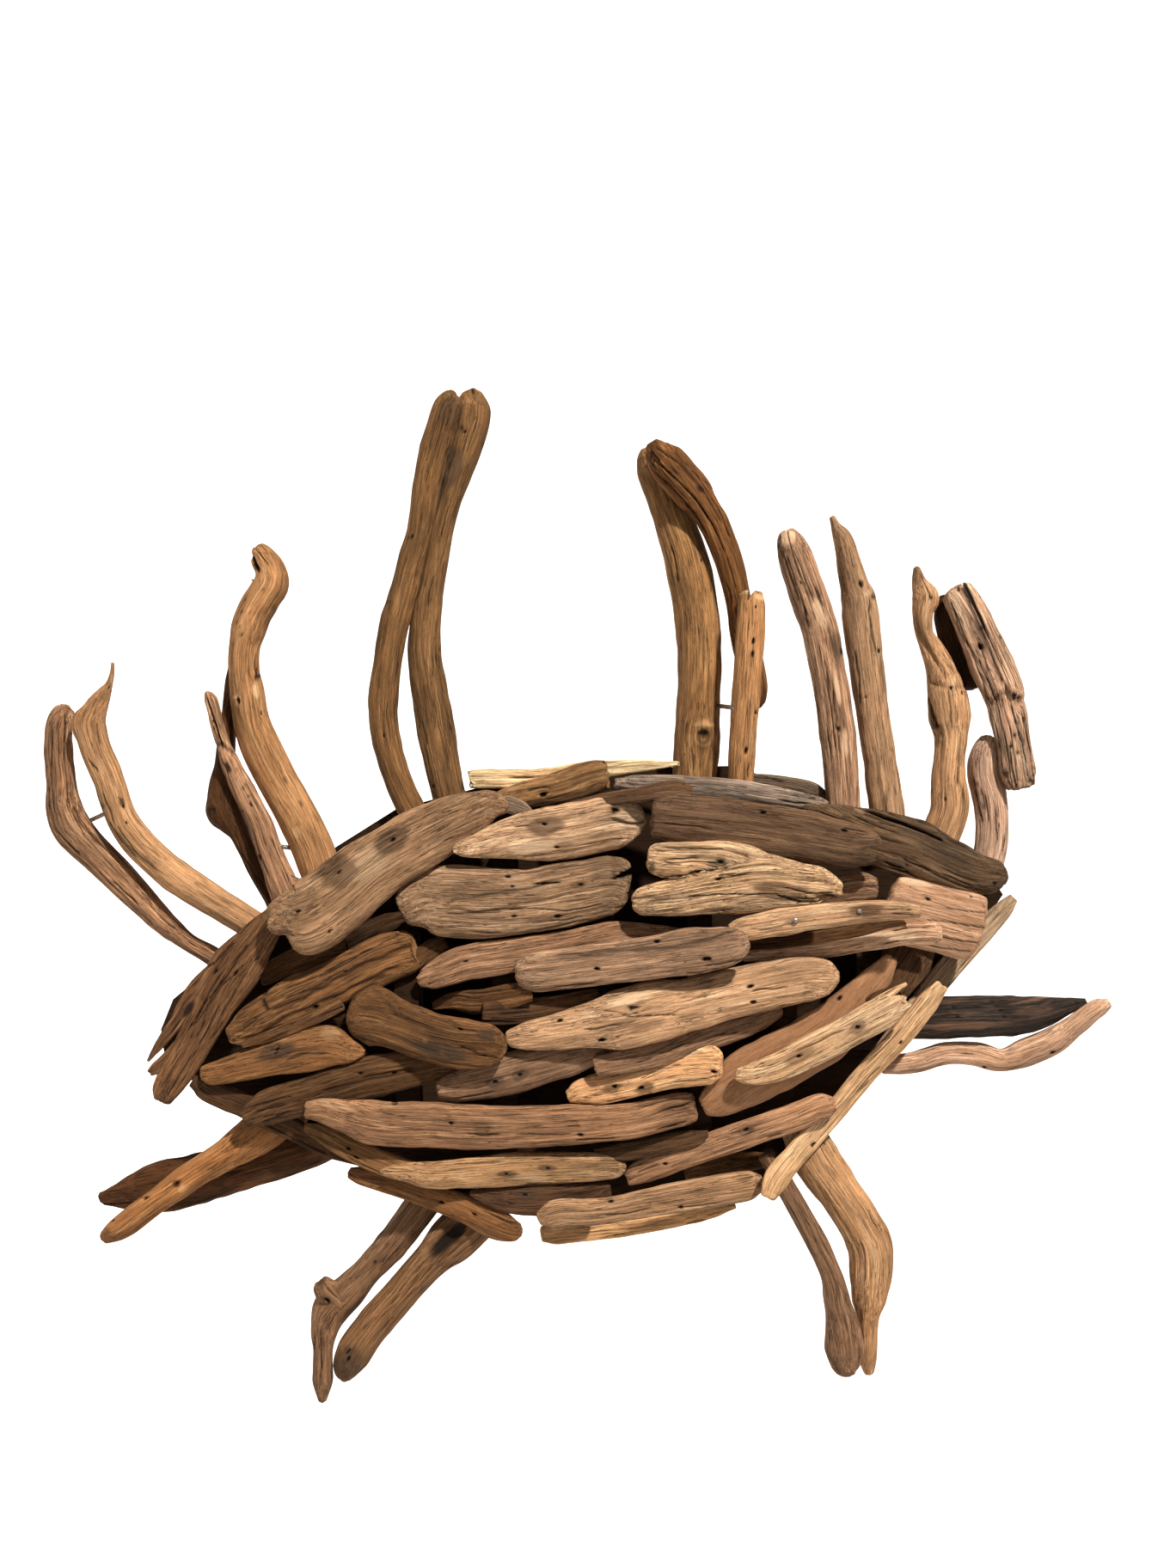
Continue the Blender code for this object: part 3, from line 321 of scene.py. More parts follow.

# What sets a piece apart from the plain look. Each piece's brightness factor scales its wood's tones. It
# holds the piece's own lightness, and for some pieces it also holds painted shade and painted light: such a
# piece is darker where it lies in shadow, and lighter where the lamps leave it in shade but it should be lit.
LOOKS = {
    "sliver_top_grey": dict(tone_and_painted_light=0.8),
    "sliver_curled": dict(tone_and_painted_light=0.74, relief=0.8, cracks=0.3),
    "sliver_left_brown": dict(wood="UMBER", tone_and_painted_light=0.95),
    "sliver_left_pale": dict(tone_and_painted_light=0.95),
    "sliver_left_round": dict(wood="UMBER", tone_and_painted_light=0.8),
    "sliver_ridge": dict(wood="UMBER", tone_and_painted_light=0.9),
    "sliver_right_end": dict(wood="DRIFT", relief=1.6, contrast=1.3),
    "sliver_middle_upper": dict(wood="UMBER", tone_and_painted_light=0.9),
    "sliver_middle_lower": dict(tone_and_painted_light=1.0),
    "sliver_under_long": dict(wood="DRIFT", tone_and_painted_light=0.95),
    # Darkened as though in shadow: painted shade.
    "sliver_right_board": dict(wood="UMBER", tone_and_painted_light=0.7),
    "sliver_bottom": dict(wood="UMBER", tone_and_painted_light=0.95),
    "sliver_slot": dict(wood="UMBER", tone_and_painted_light=0.8),
    "sliver_low_dark": dict(tone_and_painted_light=0.9),
    "left_leg_back": dict(
        wood="DARK", ends=("hidden", "broken"), tone_and_painted_light=0.89, warm=1.14, relief=1.3, cracks=1.2),
    "left_leg_front": dict(wood="HONEY", tone_and_painted_light=0.83, warm=1.034, relief=0.7, cracks=0.3, checks=0.6),
    "left_foot_outer": dict(tone_and_painted_light=0.93, warm=0.991, cracks=0.8),
    "left_foot_inner": dict(ends=("hidden", "round"), tone_and_painted_light=0.7, warm=1.092, relief=1.3, cracks=1.2),
    "right_foot_outer": dict(tone_and_painted_light=0.96, warm=0.963, relief=0.8, cracks=0.3),
    "right_foot_inner": dict(wood="DRIFT", ends=("hidden", "round"), tone_and_painted_light=0.89, warm=1.01),
    "right_leg_dark": dict(tone_and_painted_light=1.07, warm=1.012, relief=1.5, cracks=1.0),
    "right_leg_light": dict(wood="PINK_TAN", tone_and_painted_light=1.13, warm=0.969, relief=0.7, cracks=0.2, checks=0.7),
    "right_arm_bridge": dict(wood="DARK", ends=("worn", "worn"), tone_and_painted_light=0.6, warm=1.14, relief=1.0),
    "right_arm_inner": dict(tone_and_painted_light=1.07, warm=1.017, relief=0.9),
    "right_arm_outer": dict(wood="PINK_TAN", tone_and_painted_light=1.23, warm=0.931, relief=1.2, checks=1.3),
    "right_arm_split": dict(
        wood="DRIFT", ends=("worn", "broken"), tone_and_painted_light=1.53, warm=0.938, relief=1.9, contrast=1.3,
        cracks=2.0, checks=1.6),
    "right_claw_outer": dict(tone_and_painted_light=0.97, warm=0.994, relief=0.9),
    "right_claw_inner": dict(wood="DRIFT", tone_and_painted_light=1.23, warm=0.976, relief=1.2, contrast=1.3, cracks=1.2),
    "right_horn_wide": dict(
        wood="KHAKI", ends=("hidden", "round"), tone_and_painted_light=1.16, warm=0.958, relief=0.8, cracks=0.3),
    "right_horn_grooved": dict(
        wood="WALNUT", ends=("worn", "broken"), tone_and_painted_light=1.09, warm=1.005, relief=1.3, cracks=0.8),
    "right_horn_front": dict(
        wood="HONEY", ends=("hidden", "broken"), tone_and_painted_light=0.98, warm=0.955, relief=0.7, cracks=0.2, torn=0.002),
    "left_horn_back": dict(
        wood="KHAKI", ends=("hidden", "round"), tone_and_painted_light=0.93, warm=0.96, relief=0.8, cracks=0.3),
    "left_horn_front": dict(
        wood="KHAKI", ends=("hidden", "round"), tone_and_painted_light=0.93, warm=0.978, relief=0.8, cracks=0.3),
    "left_claw_outer": dict(wood="WALNUT", tone_and_painted_light=0.73, warm=1.035, relief=0.9, cracks=0.5),
    "left_claw_middle": dict(wood="DRIFT", tone_and_painted_light=1.18, warm=1.006, relief=1.2),
    "left_claw_inner": dict(
        wood="HONEY", ends=("hidden", "round"), tone_and_painted_light=0.95, warm=0.949, relief=0.6, cracks=0.2, checks=0.6),
    "left_arm_outer": dict(
        wood="DRIFT", ends=("hidden", "round"), tone_and_painted_light=1.08, warm=1.022, relief=1.4, contrast=1.3,
        cracks=1.2),
    "left_arm_inner": dict(tone_and_painted_light=0.93, warm=0.967, relief=0.7, cracks=0.3, checks=0.7),
    "rim_lower_left": dict(wood="DARK", ends=("hidden", "hidden"), tone_and_painted_light=0.92, warm=1.055),
    "rim_right_back": dict(tone_and_painted_light=0.86, warm=0.963, relief=0.6, cracks=0.3),
    "rim_bottom": dict(
        wood="HONEY", ends=("worn", "round"), tone_and_painted_light=0.68, warm=1.035, relief=0.7, cracks=0.4),
    "rim_left_front": dict(wood="WALNUT", tone_and_painted_light=1.22, warm=0.914, relief=0.7, cracks=0.4),
    "shell_top_light": dict(wood="BLEACHED", ends=("broken", "broken"), tone_and_painted_light=1.15, warm=1.06, torn=0.004),
    "shell_top_brown": dict(wood="WALNUT", ends=("hidden", "broken"), tone_and_painted_light=1.57, warm=0.86, torn=0.003),
    "shell_top_grey": dict(tone_and_painted_light=1.18, warm=0.94, relief=1.3, contrast=1.2),
    "shell_right_dark": dict(tone_and_painted_light=1.42, warm=0.873, relief=1.8, contrast=0.8, cracks=1.6),
    "shell_inner_right": dict(
        wood="PINK_TAN", tone_and_painted_light=0.79, warm=1.088, relief=0.25, contrast=0.5, cracks=0.0, checks=0.25,
        lumps=0.6, rough=0.62),
    "shell_left_edge": dict(wood="BROWN", tone_and_painted_light=0.82, warm=1.061, relief=1.4, cracks=2.0),
    "shell_left_ridged": dict(
        wood="UMBER", ends=("worn", "broken"), tone_and_painted_light=1.12, warm=0.98, relief=1.6, cracks=1.4, torn=0.003),
    "shell_left_wide": dict(tone_and_painted_light=0.9, warm=0.981, relief=1.5, contrast=1.2, cracks=1.2),
    "shell_low_left": dict(wood="UMBER", tone_and_painted_light=0.86, warm=0.978, relief=1.3, cracks=1.0),
    "shell_left_point": dict(wood="HONEY", tone_and_painted_light=0.7, warm=1.024, relief=0.9, cracks=0.4),
    "shell_middle_low": dict(wood="DRIFT", tone_and_painted_light=1.07, warm=1.009, relief=1.2, cracks=0.8),
    "shell_right_block": dict(
        wood="PINK_TAN", tone_and_painted_light=1.04, warm=1.002, relief=0.6, contrast=0.7, cracks=0.2, checks=0.8),
    "shell_upper_right": dict(wood="BROWN", tone_and_painted_light=0.82, warm=0.963, relief=0.9, cracks=0.4, checks=0.8),
    "shell_upper_left": dict(
        ends=("broken", "round"), tone_and_painted_light=0.88, warm=1.003, relief=1.2, cracks=0.8, torn=0.004),
    "shell_fish": dict(tone_and_painted_light=1.14, warm=0.967, relief=1.0, cracks=0.5),
    "shell_right_low_stick": dict(wood="DRIFT", tone_and_painted_light=1.53, warm=0.956, relief=1.1, cracks=0.8),
    "shell_right_stick": dict(ends=("hidden", "worn"), tone_and_painted_light=1.25, warm=0.977, relief=1.2, cracks=0.8),
    "shell_two_lobed": dict(tone_and_painted_light=1.11, warm=0.991, relief=1.9, contrast=1.3, cracks=1.4, checks=1.4),
    "shell_middle_split": dict(wood="BROWN", tone_and_painted_light=1.31, warm=0.921, relief=1.4, cracks=1.0),
    "shell_under_middle": dict(wood="DRIFT", tone_and_painted_light=0.98, warm=0.989, relief=0.9, cracks=0.4),
    "shell_long": dict(tone_and_painted_light=1.06, warm=0.988, relief=0.8, cracks=0.5),
    # Darkened for the shadow that falls on it: painted shade.
    "shell_lower_stick": dict(wood="DRIFT", tone_and_painted_light=0.52, warm=1.14, relief=0.8, cracks=0.4),
    "shell_wide_low": dict(wood="DRIFT", tone_and_painted_light=1.05, warm=1.033, relief=1.0, cracks=0.8),
    "shell_short": dict(wood="TAN", tone_and_painted_light=1.17, warm=1.038, relief=1.0, cracks=0.7),
    # Brightened as though lit, where the lamps leave it in shadow: painted light.
    "shell_bottom_edge": dict(wood="UMBER", tone_and_painted_light=2.11, warm=0.876, relief=1.0, cracks=0.6),
    "shell_bottom": dict(tone_and_painted_light=0.91, warm=1.01, relief=1.1, cracks=0.8),
    "rim_right_front": dict(tone_and_painted_light=1.02, warm=1.019, relief=0.5, cracks=0.3, checks=0.8),
    "shell_right_splintered": dict(
        ends=("round", "broken"), tone_and_painted_light=1.1, warm=0.987, relief=1.1, cracks=0.7, torn=0.006),
    "shell_lower_right": dict(wood="DRIFT", tone_and_painted_light=1.2, warm=1.016, relief=1.0, cracks=0.8),
    "shell_low_middle": dict(tone_and_painted_light=0.78, warm=1.052, relief=0.9, cracks=0.5),
    "shell_bone": dict(
        wood="UMBER", ends=("worn", "round"), tone_and_painted_light=1.0, warm=0.988, relief=1.1, cracks=1.0),
}

# What each piece carries on its front, by kind, in pixels of the view: the method of Carving with the kind's
# name, or the tint, says what the values mean. Many dark marks, and the dark in holes, cracks, grooves and
# steps, are painted shade in creases, in hollows and under edges. The other dark marks are dark spots of the
# wood.
MARKS = {
    "left_leg_front": [
        ("dark", (205, 1377, 5, 5)),
        ("hole", (205, 1377), (168, 1393), (131, 1419, 2)),
        ("pale", (212, 1383, 6, 4)),
        ("crack", (1.4, 1.4, (160, 1390), (168, 1394), (173, 1392))),
        ("stain", (122, 1437, 8, 10, 0.5)),
    ],
    "right_arm_outer": [
        ("crack", (1.4, 1.2, (1132, 905), (1136, 930), (1142, 955)),
            (1.2, 1.0, (1146, 925), (1150, 955)), (1.2, 1.0, (1158, 940), (1160, 975))),
        ("dark", (1137, 913, 3, 2, 0.7), (1143, 938, 4, 1.5, 0.7)),
    ],
    "right_arm_inner": [
        # The dark at 1084, 834 is painted shade on the side of the stick turned from the light.
        ("dark", (1067, 668, 14, 8, 0.5), (1083, 695, 3, 3, 1.0), (1084, 834, 15, 4, 0.7),
            (1090, 846, 3, 3), (1083, 915, 12, 2, 0.4)),
        ("crack", (1.6, 1.6, (1071, 668), (1078, 684), (1084, 695)),
            (2.2, 1.8, (1079, 812), (1084, 832), (1091, 847))),
        ("groove", (3, 1.6, (1062, 716), (1069, 738), (1084, 764), (1100, 786)),
            (3, 1.2, (1082, 730), (1096, 758), (1112, 782)), (3, 1.0, (1084, 795), (1104, 801),
            (1120, 799))),
        ("hole", (1107, 800, 2), (1120, 805, 2.5), (1099, 930, 2)),
        ("second", (1072, 720, 40, 12, 0.9)),
        ("pale", (1110, 793, 7, 4, 0.4)),
    ],
    "right_horn_grooved": [
        ("crack", (2.4, 3.0, (760, 547), (785, 573), (808, 598), (822, 622)),
            (2.0, 2.6, (756, 531), (785, 556), (810, 582), (830, 612), (842, 640)),
            (1.6, 2.0, (764, 520), (795, 542), (822, 575), (840, 607)),
            (1.3, 1.4, (786, 526), (813, 554), (836, 590), (850, 625)), (1.2, 1.2, (846, 650), (856, 685))),
        ("dark", (757, 526, 3, 3, 1.0), (765, 534, 5, 2, 1.0), (784, 547, 7, 2, 0.9),
            (760, 541, 5, 2, 1.0), (815, 568, 6, 4), (889, 812, 16, 5, 0.5)),
        ("pale", (770, 518, 6, 2, 0.5), (772, 541, 12, 1.5, 0.7), (790, 560, 14, 1.5, 0.6)),
    ],
    "left_horn_front": [
        ("dent", (534, 474, 30, 9, -4.2), (529, 508, 26, 8, -2.9), (479, 705, 40, 8, -1.2),
            (512, 548, 26, 8, -1.6), (486, 675, 26, 8, -1.6)),
        ("stain", (519, 478, 18, 10, 0.55)),
        ("hole", (478, 624, 2.5), (473, 626, 2), (514, 561, 2.5), (446, 856, 2.5)),
        ("second", (484, 640, 50, 16, 0.5)),
        ("dark", (451, 700, 3, 4, 0.5)),
    ],
    "left_arm_inner": [
        ("dark", (142, 933, 7, 4), (117, 939, 5, 4, 0.5)),
        ("hole", (144, 937, 2.5), (138, 928, 2), (128, 800, 2), (147, 957, 2)),
        ("dent", (85, 840, 24, 9, -2.1)),
        ("second", (92, 832, 14, 10, 0.9)),
        ("crack", (1.6, 1.6, (104, 886), (110, 893), (114, 897)),
            (1.0, 0.8, (127, 958), (140, 978), (158, 998)), (1.0, 0.8, (136, 962), (156, 990),
            (180, 1012))),
    ],
    "left_arm_outer": [
        ("second", (66, 860, 60, 30, 0.6)),
        ("dent", (85, 838, 24, 9, -2.0)),
        ("crack", (1.0, 0.9, (76, 828), (75, 880), (79, 930), (98, 972), (132, 1008)),
            (1.0, 0.8, (61, 850), (58, 900), (63, 945)), (1.2, 1.0, (112, 962), (128, 980), (146, 1001)),
            (1.0, 0.8, (88, 940), (108, 972), (136, 1000))),
        ("hole", (84, 850, 2.5), (97, 1012, 2)),
    ],
    "left_claw_inner": [
        # The first crack and the dark at 298, 660 paint the shadow in the hollow groove at the tip.
        ("crack", (4.0, 2.4, (292, 645), (295, 653), (299, 664)),
            (1.6, 1.4, (299, 640), (305, 648), (312, 656)),
            (2.4, 2.6, (299, 762), (298, 775), (301, 786), (297, 794))),
        ("dark", (298, 660, 7, 3, 1.0), (301, 786, 4, 4, 1.0), (315, 722, 14, 5, 0.4),
            (321, 708, 4, 4, 0.6), (276, 703, 2, 2, 0.7), (283, 698, 2, 2, 0.7), (280, 711, 2, 2, 0.7),
            (286, 716, 2, 2, 0.6), (275, 722, 2, 2, 0.6), (281, 739, 2, 2, 0.7), (278, 730, 2, 2, 0.6),
            (306, 685, 2, 2, 0.6), (268, 737, 2, 2, 0.6), (332, 908, 6, 3, 0.5), (350, 935, 3, 3, 0.6)),
        ("hole", (277, 815, 3.5), (305, 829, 2)),
        ("pale", (275, 811, 2, 5, 0.7), (298, 803, 9, 4), (344, 968, 6, 5, 0.5)),
        ("second", (276, 840, 26, 12, 0.9)),
    ],
    "left_claw_middle": [
        ("crack", (3.4, 4.0, (240, 812), (246, 830), (252, 848), (257, 864))),
        ("dark", (258, 866, 4, 3, 1.0), (264, 893, 7, 4, 0.9), (283, 917, 2, 2, 0.7),
            (289, 925, 2, 2, 0.7), (281, 944, 2, 2, 0.6), (300, 952, 2, 2, 0.6), (294, 968, 2, 2, 0.6)),
        ("pale", (242, 830, 14, 3, 0.5), (285, 905, 8, 4, 0.4)),
        ("stain", (255, 832, 20, 4, 0.5)),
        ("hole", (292, 936, 2.5), (301, 997, 3.5)),
        ("step", (12, 1.6, (250, 868), (258, 862), (268, 870), (277, 874))),
    ],
    "left_claw_outer": [
        ("knot", (246, 944, 8)),
        ("second", (245, 930, 30, 8, 0.3)),
    ],
    "left_horn_back": [
        ("dent", (540, 474, 30, 9, -4.2), (533, 508, 26, 8, -2.9), (520, 548, 26, 8, -1.6),
            (492, 675, 26, 8, -1.6), (484, 705, 40, 8, -1.2)),
        # The long thin darks from 535, 475 to 493, 660 paint the shadow in the crease under left_horn_front.
        ("dark", (535, 475, 16, 3, 0.7), (520, 530, 36, 3, 0.85), (508, 590, 40, 2.5, 0.7),
            (493, 660, 40, 2.5, 0.7), (541, 914, 8, 5, 0.9), (550, 454, 4, 2), (508, 728, 10, 1.5, 0.5)),
        ("stain", (527, 545, 26, 11, 0.85)),
        ("hole", (503, 915, 2.5), (541, 503, 2)),
        ("crack", (1.2, 1.0, (490, 838), (494, 855), (497, 866))),
    ],
    "right_horn_wide": [
        ("knot", (818, 857, 14)),
        ("dark", (818, 852, 4, 8, 0.9)),
        ("pale", (818, 842, 4, 13, 0.6), (803, 862, 8, 3, 0.4), (832, 862, 8, 3, 0.4)),
        ("hole", (817, 651, 2)),
    ],
    "right_horn_front": [
        ("hole", (877, 746, 3.5), (876, 761), (880, 829, 2.5), (868, 873, 3.5), (880, 705, 2)),
        ("crack", (2.0, 2.0, (872, 889), (870, 897), (871, 904))),
        ("pale", (866, 686, 4, 8), (884, 693, 4, 6)),
    ],
    "right_claw_inner": [
        ("pale", (915, 623, 12, 10, 0.95), (953, 713, 20, 8, 0.7), (974, 800, 22, 3, 0.7),
            (983, 866, 16, 4, 0.6)),
        ("dark", (907, 624, 6, 2, 1.0), (903, 635, 3, 2), (982, 757, 4, 3, 1.0), (912, 640, 3, 8, 0.5)),
        ("crack", (2.4, 2.6, (949, 682), (954, 690), (958, 702)),
            (1.2, 1.2, (923, 640), (935, 668), (946, 700)), (1.1, 1.0, (915, 648), (926, 680), (938, 715)),
            (1.0, 1.0, (960, 770), (966, 820), (972, 870))),
        ("stain", (975, 748, 17, 7, 0.7)),
        ("hole", (975, 848), (931, 678, 2)),
    ],
    "right_claw_outer": [
        ("hole", (1002, 679, 4), (1023, 757, 2.5), (1007, 811, 1.5)),
        ("crack", (1.8, 2.0, (1018, 690), (1013, 700), (1012, 712), (1015, 735), (1018, 757))),
        ("dark", (1016, 692, 3, 3, 1.0)),
        ("pale", (1010, 690, 4, 6, 0.6)),
        ("second", (984, 680, 60, 12, 0.9)),
    ],
    "right_arm_split": [
        ("stain", (1137, 735, 24, 8, 0.75)),
        ("hole", (1140, 752, 4)),
        ("knot", (1141, 752, 6)),
        ("step", (16, 1.0, (1119, 678), (1136, 716), (1150, 750), (1164, 784), (1176, 806)),
            (42, 3.6, (1172, 799), (1178, 806), (1186, 810), (1195, 813))),
        ("crack", (1.4, 2.0, (1121, 682), (1136, 716), (1150, 750), (1164, 784), (1176, 806)),
            (1.4, 1.4, (1128, 690), (1144, 722), (1160, 756), (1176, 790)),
            (1.1, 1.0, (1105, 700), (1122, 740), (1140, 785), (1152, 820)),
            (1.3, 1.4, (1140, 770), (1158, 815), (1170, 862), (1176, 900)),
            (1.6, 2.0, (1165, 812), (1176, 850), (1184, 905)),
            (1.4, 1.8, (1178, 820), (1190, 862), (1197, 905)),
            (1.2, 1.4, (1190, 830), (1200, 875), (1204, 905))),
        # The dark at 1182, 809 paints the shadow under the step at the slab's lower end.
        ("dark", (1182, 809, 7, 3, 1.0), (1141, 729, 3, 4, 0.9), (1181, 856, 4, 3, 1.0),
            (1176, 868, 4, 3, 1.0), (1184, 874, 3, 3, 0.9), (1193, 834, 3, 3, 0.9), (1170, 899, 6, 5, 0.9),
            (1201, 909, 4, 5, 0.9), (1115, 684, 4, 2)),
    ],
    "right_leg_light": [
        ("hole", (1225, 1225), (1145, 1243)),
    ],
    "right_leg_dark": [
        ("pale", (1120, 1194, 60, 5, 0.75), (1215, 1160, 45, 2, 0.9), (1200, 1176, 24, 6, 0.3)),
        ("crack", (1.8, 1.4, (1150, 1160), (1165, 1176), (1172, 1190)),
            (1.4, 1.2, (1108, 1168), (1118, 1190))),
    ],
    "left_foot_outer": [
        ("dark", (372, 1488, 9, 8, 0.6)),
        ("knot", (380, 1514, 8)),
        ("hole", (380, 1514)),
        ("crack", (1.6, 1.6, (363, 1500), (362, 1515)),
            (1.6, 1.6, (430, 1466), (440, 1470), (447, 1466)), (1.2, 1.0, (372, 1545), (374, 1590))),
    ],
    "left_foot_inner": [
        # The dark over the dent is painted shade in the hollow.
        ("dark", (520, 1442, 34, 14, 0.95)),
        ("dent", (520, 1442, 36, 14, 6)),
        ("hole", (404, 1572), (404, 1582)),
        ("stain", (404, 1585, 20, 20, 0.7)),
    ],
    "left_leg_back": [
        ("knot", (205, 1380, 9)),
    ],
    "shell_left_edge": [
        ("crack", (1.8, 3.0, (270, 1097), (232, 1135), (217, 1155)),
            (2.0, 3.0, (286, 1100), (255, 1146), (238, 1166), (217, 1201)),
            (1.2, 1.5, (283, 1123), (255, 1149), (226, 1192))),
        # The dark at 219, 1174 is painted shade in the open crack.
        ("dark", (219, 1174, 12, 4, 0.9)),
        ("hole", (272, 1133), (250, 1130)),
    ],
    "shell_upper_left": [
        ("stain", (455, 978, 24, 15, 0.85), (392, 1012, 24, 24), (350, 1048, 20, 14, 0.45)),
        ("hole", (457, 977), (394, 1015), (347, 1060), (384, 1084)),
        ("pale", (425, 1005, 34, 20, 0.35)),
    ],
    "shell_fish": [
        ("stain", (634, 961, 22, 12), (656, 983, 12, 4, 0.4)),
        ("hole", (634, 959), (648, 986)),
        ("step", (26, 1.6, (722, 930), (712, 938), (714, 951), (735, 957), (752, 955))),
        # The dark over the dent at 716, 943 is painted shade in the V hole.
        ("dark", (716, 943, 5, 5, 1.0)),
        ("dent", (716, 943, 6, 6, 3.5)),
        ("pale", (735, 952, 20, 22, 0.25), (620, 985, 30, 10, 0.3)),
    ],
    "shell_left_wide": [
        ("hole", (591, 1018), (596, 1031, 2.5), (675, 1029), (598, 1066), (649, 1066)),
        ("stain", (674, 1029, 10, 5, 0.6)),
        ("crack", (2.4, 2.6, (621, 1027), (632, 1027), (652, 1026)),
            (1.3, 1.6, (560, 1059), (612, 1056), (660, 1060), (700, 1052)),
            (1.6, 3.0, (713, 1022), (722, 1018), (730, 1012))),
        ("step", (30, 1.1, (642, 1028), (580, 1040), (526, 1048), (516, 1055)),
            (24, 1.0, (516, 1061), (560, 1059), (612, 1055)),
            (14, 2.2, (727, 1022), (714, 1020), (711, 1006), (714, 992))),
        ("second", (690, 1030, 60, 40, 0.5)),
    ],
    "shell_top_brown": [
        ("hole", (632, 925, 4)),
        ("dark", (640, 934, 70, 8, 0.35)),
    ],
    "shell_upper_right": [
        ("hole", (887, 945, 3.5), (982, 966, 3.5)),
    ],
    "shell_right_dark": [
        ("crack", (4.2, 5.0, (995, 937), (1010, 942), (1029, 951), (1050, 958), (1071, 966), (1096, 977)),
            (1.6, 2.0, (1054, 1000), (1056, 1008), (1056, 1018)),
            (2.0, 2.5, (1029, 1003), (1040, 1008), (1052, 1011)),
            (1.6, 2.0, (1160, 1024), (1155, 1034), (1151, 1044))),
        ("pale", (1001, 942, 7, 4)),
        ("second", (1100, 1000, 60, 40, 0.4)),
    ],
    "shell_two_lobed": [
        ("hole", (838, 1003, 4), (835, 1023)),
        ("stain", (838, 1003, 9, 8, 0.4), (908, 1036, 34, 11, 0.75)),
        # The step, the first crack and the dark at 757, 1008 paint the shadow in the valley under the upper
        # lobe.
        ("step", (26, 2.6, (874, 1003), (830, 1013), (800, 1019))),
        ("crack", (2.4, 2.5, (775, 1022), (795, 1020), (815, 1016), (845, 1009)),
            (1.5, 1.6, (800, 1044), (830, 1041), (870, 1041), (905, 1040)),
            (1.0, 0.9, (762, 990), (800, 988), (840, 987)), (1.0, 0.9, (770, 1001), (810, 998)),
            (2.2, 2.6, (905, 1042), (930, 1050), (955, 1050)),
            (1.6, 2.0, (915, 1033), (940, 1040), (965, 1039))),
        ("dark", (757, 1008, 4, 9, 0.7), (930, 1046, 30, 4, 0.6), (968, 1045, 9, 5, 1.0)),
        ("groove", (4, 1.2, (760, 1050), (800, 1042))),
        ("dent", (962, 1046, 14, 6, 4)),
    ],
    "shell_right_stick": [
        ("stain", (1008, 1059, 22, 9, 0.85)),
        ("dark", (922, 1073, 9, 5, 0.4)),
    ],
    "shell_right_block": [
        ("hole", (1080, 1046), (1130, 1043, 1.6)),
        ("crack", (0.8, 0.6, (1080, 1070), (1110, 1074), (1148, 1080)),
            (0.8, 0.6, (1100, 1056), (1125, 1060), (1149, 1062)),
            (0.8, 0.7, (1085, 1088), (1112, 1094), (1145, 1098)),
            (0.8, 0.5, (1072, 1098), (1100, 1104), (1128, 1107))),
        ("pale", (1060, 1024, 26, 5, 0.5)),
    ],
    "shell_middle_low": [
        ("hole", (542, 1118)),
    ],
    "shell_middle_split": [
        ("step", (40, 0.9, (870, 1079), (800, 1100), (735, 1106), (700, 1108), (640, 1114))),
        ("stain", (800, 1094, 70, 12, 0.5)),
        ("hole", (763, 1095, 3.5), (694, 1127, 3.5), (822, 1117, 4.5)),
    ],
    "shell_long": [
        ("crack", (1.4, 1.6, (733, 1171), (738, 1182)), (1.4, 1.6, (743, 1169), (739, 1182)),
            (1.2, 1.2, (738, 1167), (738, 1181)), (1.7, 1.6, (733, 1184), (755, 1182), (784, 1181)),
            (1.0, 0.8, (705, 1175), (722, 1178), (735, 1184))),
        ("stain", (752, 1194, 24, 7, 0.55), (715, 1190, 30, 12, 0.25)),
        ("hole", (651, 1187, 3.5), (700, 1210, 3.5), (873, 1148, 3.5), (876, 1166, 3.5)),
        ("pale", (730, 1163, 30, 6, 0.5)),
    ],
    "shell_short": [
        ("stain", (711, 1266, 13, 6, 0.9), (751, 1266, 13, 6, 0.9)),
        ("hole", (714, 1264, 3.5), (746, 1266, 3.5), (831, 1247, 3.5)),
        ("crack", (1.0, 0.9, (783, 1259), (808, 1257), (834, 1252)),
            (0.8, 0.6, (746, 1254), (770, 1243), (790, 1239))),
        ("pale", (790, 1222, 36, 8, 0.5)),
    ],
    "shell_right_splintered": [
        ("stain", (929, 1228, 20, 10, 0.6), (998, 1195, 12, 7, 0.7)),
        ("hole", (929, 1229, 3.5), (998, 1195, 3.5)),
    ],
    "shell_bone": [
        ("groove", (3, 0.9, (436, 1150), (462, 1182), (500, 1196))),
        ("dark", (411, 1158, 5, 3, 0.6)),
        ("crack", (1.5, 1.8, (537, 1218), (560, 1228), (578, 1231)),
            (1.0, 0.8, (458, 1150), (482, 1168))),
        ("stain", (566, 1204, 13, 8, 0.7), (510, 1223, 34, 11, 0.85)),
        ("hole", (535, 1197)),
        ("pale", (495, 1212, 3, 3, 0.7), (514, 1225, 5, 3, 0.6)),
        ("second", (500, 1190, 90, 24, 0.4)),
    ],
    "shell_left_point": [
        ("stain", (321, 1222, 24, 11, 0.9), (388, 1190, 16, 8, 0.4)),
        ("hole", (322, 1221, 2.5)),
        ("pale", (384, 1203, 12, 9)),
        ("crack", (1.2, 1.2, (316, 1222), (329, 1220)), (1.2, 1.2, (325, 1216), (320, 1227))),
        ("dent", (384, 1203, 13, 10, -1.8)),
        ("second", (280, 1240, 40, 20, 0.5)),
    ],
    "shell_left_ridged": [
        ("step", (16, 1.8, (310, 1175), (361, 1155), (404, 1129), (448, 1109), (484, 1092)),
